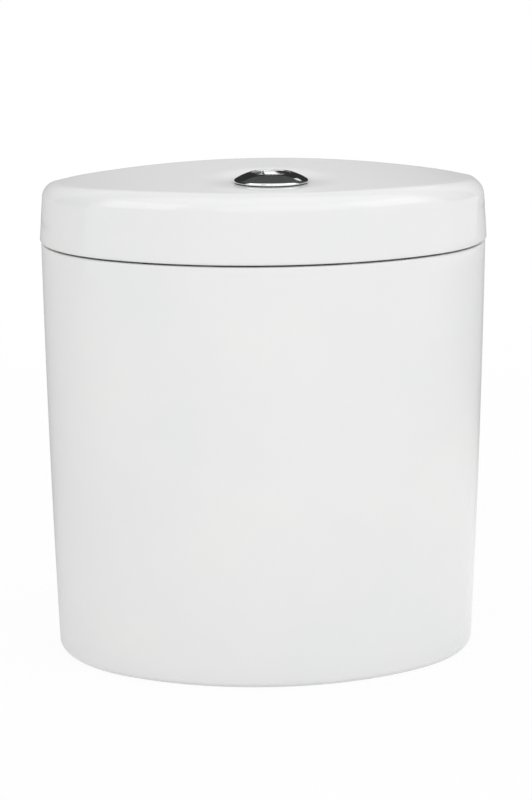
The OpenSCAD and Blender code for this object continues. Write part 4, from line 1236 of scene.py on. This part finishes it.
# Cloths of the studio panels, each at the level that a mirror sees
CLOTHS = {
    "Black cloth": 0.035,
    "Grey cloth": 0.09,
    "Pale cloth": 0.45,
    "Faded cloth": 0.45,
    "Light cloth": 0.8,
    "White card": 1.2,
}

# Where the faded cloth is white and where it has its own tone: from front to back, and round a spot
FADE_ENDS = (-0.6, 0.5)
FADE_SPOT = (0.45, 0.05, 0.0)
FADE_SPOT_ENDS = (0.22, 0.75)

# Studio panels: cloth, size, place and the point that each faces
PANELS = {
    "back_flag": ("Black cloth", (5.6, 2.4), (0.0, 2.8, 1.65), (0.0, 0.0, 1.65)),
    "left_flag": ("Black cloth", (2.9, 2.4), (-2.8, 1.35, 1.65), (0.0, 1.35, 1.65)),
    "right_flag": ("Grey cloth", (2.9, 2.4), (2.8, 1.35, 1.65), (0.0, 1.35, 1.65)),
    "top_flag": ("Grey cloth", (5.6, 2.6), (0.0, 1.5, 2.85), (0.0, 1.5, 0.0)),
    "floor_flag": ("Faded cloth", (5.6, 4.1), (0.0, 1.45, 0.005), (0.0, 1.45, 1.0)),
    "back_skirt": ("Grey cloth", (5.6, 0.45), (0.0, 2.8, 0.225), (0.0, 0.0, 0.225)),
    "left_skirt": ("Pale cloth", (2.7, 0.45), (-2.8, 1.45, 0.225), (0.0, 1.45, 0.225)),
    "right_skirt": ("Light cloth", (2.7, 0.45), (2.8, 1.45, 0.225), (0.0, 1.45, 0.225)),
    "white_card": ("White card", (0.2, 0.28), (0.95, 1.76, 1.83), (0.0, 0.0, 0.41)),
}


def softbox(name, watts, size, place_at, aim):
    """A rectangular area lamp that looks at a point and that the camera doesn't see."""
    data = bpy.data.lights.new(name, "AREA")
    data.shape = "RECTANGLE"
    data.size, data.size_y = size
    data.energy = watts
    lamp = bpy.data.objects.new(name, data)
    lamp.location = place_at
    lamp.rotation_euler = (Vector(aim) - Vector(place_at)).to_track_quat("-Z", "Y").to_euler()
    lamp.visible_camera = False
    bpy.context.scene.collection.objects.link(lamp)
    return lamp


def light_only(lamp, *pieces):
    """Keeps a lamp's light to some of the pieces."""
    lit = bpy.data.collections.new(lamp.name)
    for piece in pieces:
        lit.objects.link(bpy.data.objects[piece])
    lamp.light_linking.receiver_collection = lit


def seen_ray(tree):
    """1 for rays that show the background: camera, mirror and glass rays."""
    rays = add_node(tree, "ShaderNodeLightPath").outputs
    first = maths(tree, "MAXIMUM", rays["Is Camera Ray"], rays["Is Glossy Ray"])
    return maths(tree, "MAXIMUM", first, rays["Is Transmission Ray"])


def bare_material(name):
    """A material with no shader yet: itself, its tree and the socket for its surface."""
    material = bpy.data.materials.new(name)
    material.use_nodes = True
    tree = material.node_tree
    tree.nodes.remove(tree.nodes["Principled BSDF"])
    return material, tree, tree.nodes["Material Output"].inputs["Surface"]


def floor_material(tone, paper):
    """Pale paper: white to the camera, and a little grey where the object shades it."""
    material, tree, surface = bare_material("Paper floor")
    spot = add_node(tree, "ShaderNodeTexCoord").outputs["Object"]
    reach = add_node(tree, "ShaderNodeVectorMath", {0: spot}, operation="LENGTH").outputs["Value"]
    white = stretched(tree, reach, FLOOR_FADE, (paper, 1.0))
    matte = add_node(tree, "ShaderNodeBsdfDiffuse", {"Color": (*tone, 1.0)})
    glow = add_node(tree, "ShaderNodeEmission", {"Color": WHITE, "Strength": 1.0})
    amount = maths(tree, "MULTIPLY", seen_ray(tree), white)
    tree.links.new(mixed_shaders(tree, amount, matte, glow), surface)
    return material


def cloth(name, tone):
    """Cloth of a studio panel, at the level that a mirror sees."""
    material, tree, surface = bare_material(name)
    glow = add_node(tree, "ShaderNodeEmission", {"Color": WHITE, "Strength": tone})
    tree.links.new(glow.outputs[0], surface)
    return material


def fade(material, tone):
    """Lets a cloth pale to white towards the front and round one spot."""
    tree = material.node_tree
    spot = add_node(tree, "ShaderNodeNewGeometry").outputs["Position"]
    depth = add_node(tree, "ShaderNodeSeparateXYZ", {0: spot}).outputs["Y"]
    ends = {0: spot, 1: FADE_SPOT}
    reach = add_node(tree, "ShaderNodeVectorMath", ends, operation="DISTANCE").outputs["Value"]
    palest = maths(
        tree, "MAXIMUM",
        stretched(tree, depth, FADE_ENDS, (1.0, tone)),
        stretched(tree, reach, FADE_SPOT_ENDS, (1.0, tone)),
    )
    tree.links.new(palest, tree.nodes["Emission"].inputs["Strength"])


def panel(name, material, size, place_at, aim):
    """A flat studio panel that only mirrors see."""
    clear_selection()
    bpy.ops.mesh.primitive_plane_add(size=1)
    card = named(name)
    bpy.ops.object.mode_set(mode="EDIT")
    bpy.ops.transform.resize(value=(*size, 1), center_override=(0, 0, 0))
    bpy.ops.mesh.subdivide(number_cuts=1)
    bpy.ops.object.mode_set(mode="OBJECT")
    turn = (Vector(aim) - Vector(place_at)).to_track_quat("Z", "Y").to_matrix().to_4x4()
    card.matrix_world = Matrix.Translation(place_at) @ turn
    bpy.ops.object.transform_apply(location=True, rotation=True, scale=True)
    card.data.materials.append(material)
    card.visible_camera = False
    card.visible_diffuse = False
    card.visible_shadow = False
    card.visible_transmission = False


def studio_camera():
    """Camera at the photograph's viewing angle."""
    flat = math.cos(CAMERA_TILT)
    forward = Vector((
        math.sin(CAMERA_YAW) * flat, math.cos(CAMERA_YAW) * flat, -math.sin(CAMERA_TILT)
    ))
    level_right = Vector((math.cos(CAMERA_YAW), -math.sin(CAMERA_YAW), 0))
    level_up = level_right.cross(forward)
    right = level_right * math.cos(CAMERA_ROLL) - level_up * math.sin(CAMERA_ROLL)
    up = level_right * math.sin(CAMERA_ROLL) + level_up * math.cos(CAMERA_ROLL)
    data = bpy.data.cameras.new("studio_camera")
    data.sensor_width = CAMERA_SENSOR
    data.lens = CAMERA_LENS
    data.clip_start = CAMERA_NEAR
    camera = bpy.data.objects.new("studio_camera", data)
    turn = Matrix((right, up, -forward)).transposed().to_4x4()
    camera.matrix_world = Matrix.Translation(CAMERA_PLACE) @ turn
    bpy.context.scene.collection.objects.link(camera)
    bpy.context.scene.camera = camera


def studio_floor(material):
    """Paper under the object."""
    clear_selection()
    bpy.ops.mesh.primitive_plane_add(size=FLOOR_SIZE)
    floor = named("paper_floor")
    bpy.ops.object.mode_set(mode="EDIT")
    bpy.ops.mesh.subdivide(number_cuts=3)
    bpy.ops.object.mode_set(mode="OBJECT")
    floor.data.materials.append(material)


def studio_room(ambient):
    """Even light of the room, in front of a white background."""
    world = bpy.data.worlds.new("Studio room")
    bpy.context.scene.world = world
    world.use_nodes = True
    tree = world.node_tree
    tree.nodes.clear()
    room, seen = (
        add_node(tree, "ShaderNodeBackground", {"Color": WHITE, "Strength": strength})
        for strength in (ambient, 1.0)
    )
    shown = mixed_shaders(tree, seen_ray(tree), room, seen)
    add_node(tree, "ShaderNodeOutputWorld", {"Surface": shown})


class CISTERN_OT_stage(bpy.types.Operator):
    """Set up the camera, the paper floor, the room, the studio lights and the panels"""

    bl_idname = "cistern.stage"
    bl_label = "Stage"

    def execute(self, context):
        scene = context.scene
        levels = scene.cistern_lights
        scene.view_settings.view_transform = "Standard"
        studio_camera()
        studio_floor(floor_material(scene.cistern_finishes.floor, levels.paper))
        studio_room(levels.ambient)
        lamps = {
            key: softbox(f"{key}_softbox", getattr(levels, key), *lay)
            for key, lay in SOFTBOXES.items()
        }
        lamps["overhead"].visible_glossy = False
        light_only(lamps["rear"], "glazed_tank", "glazed_lid")
        for name, lay in GLINTS.items():
            light_only(softbox(name, *lay), "full_button_cap", "half_button_cap")
        cloths = {name: cloth(name, tone) for name, tone in CLOTHS.items()}
        fade(cloths["Faded cloth"], CLOTHS["Faded cloth"])
        for name, (kind, *lay) in PANELS.items():
            panel(name, cloths[kind], *lay)
        return {"FINISHED"}


class CISTERN_PT_panel(bpy.types.Panel):
    """Sidebar panel of the cistern's operators and sizes"""

    bl_idname = "CISTERN_PT_panel"
    bl_label = "Cistern"
    bl_space_type = "VIEW_3D"
    bl_region_type = "UI"
    bl_category = "Cistern"

    def draw(self, context):
        for operator in OPERATORS:
            self.layout.operator(operator.bl_idname)
        for name in GROUPS:
            box = self.layout.box()
            group = getattr(context.scene, name)
            for key in type(group).__annotations__:
                box.prop(group, key)


GROUPS = {
    "cistern_tank": CisternTankSizes,
    "cistern_lid": CisternLidSizes,
    "cistern_buttons": CisternButtonSizes,
    "cistern_finishes": CisternFinishes,
    "cistern_lights": CisternLights,
}
OPERATORS = (
    CISTERN_OT_tank,
    CISTERN_OT_lid,
    CISTERN_OT_bezel,
    CISTERN_OT_buttons,
    CISTERN_OT_springs,
    CISTERN_OT_white_mouldings,
    CISTERN_OT_grey_mouldings,
    CISTERN_OT_blue_mouldings,
    CISTERN_OT_seals,
    CISTERN_OT_pins,
    CISTERN_OT_stage,
)
CLASSES = (*GROUPS.values(), *OPERATORS, CISTERN_PT_panel)


def register():
    for made in CLASSES:
        bpy.utils.register_class(made)
    for name, group in GROUPS.items():
        setattr(bpy.types.Scene, name, PointerProperty(type=group))


def unregister():
    for name in GROUPS:
        delattr(bpy.types.Scene, name)
    for made in reversed(CLASSES):
        bpy.utils.unregister_class(made)


def main():
    register()
    bpy.ops.cistern.tank()
    bpy.ops.cistern.lid()
    bpy.ops.cistern.bezel()
    bpy.ops.cistern.buttons()
    bpy.ops.cistern.springs()
    bpy.ops.cistern.white_mouldings()
    bpy.ops.cistern.grey_mouldings()
    bpy.ops.cistern.blue_mouldings()
    bpy.ops.cistern.seals()
    bpy.ops.cistern.pins()
    bpy.ops.cistern.stage()


if __name__ == "__main__":
    main()
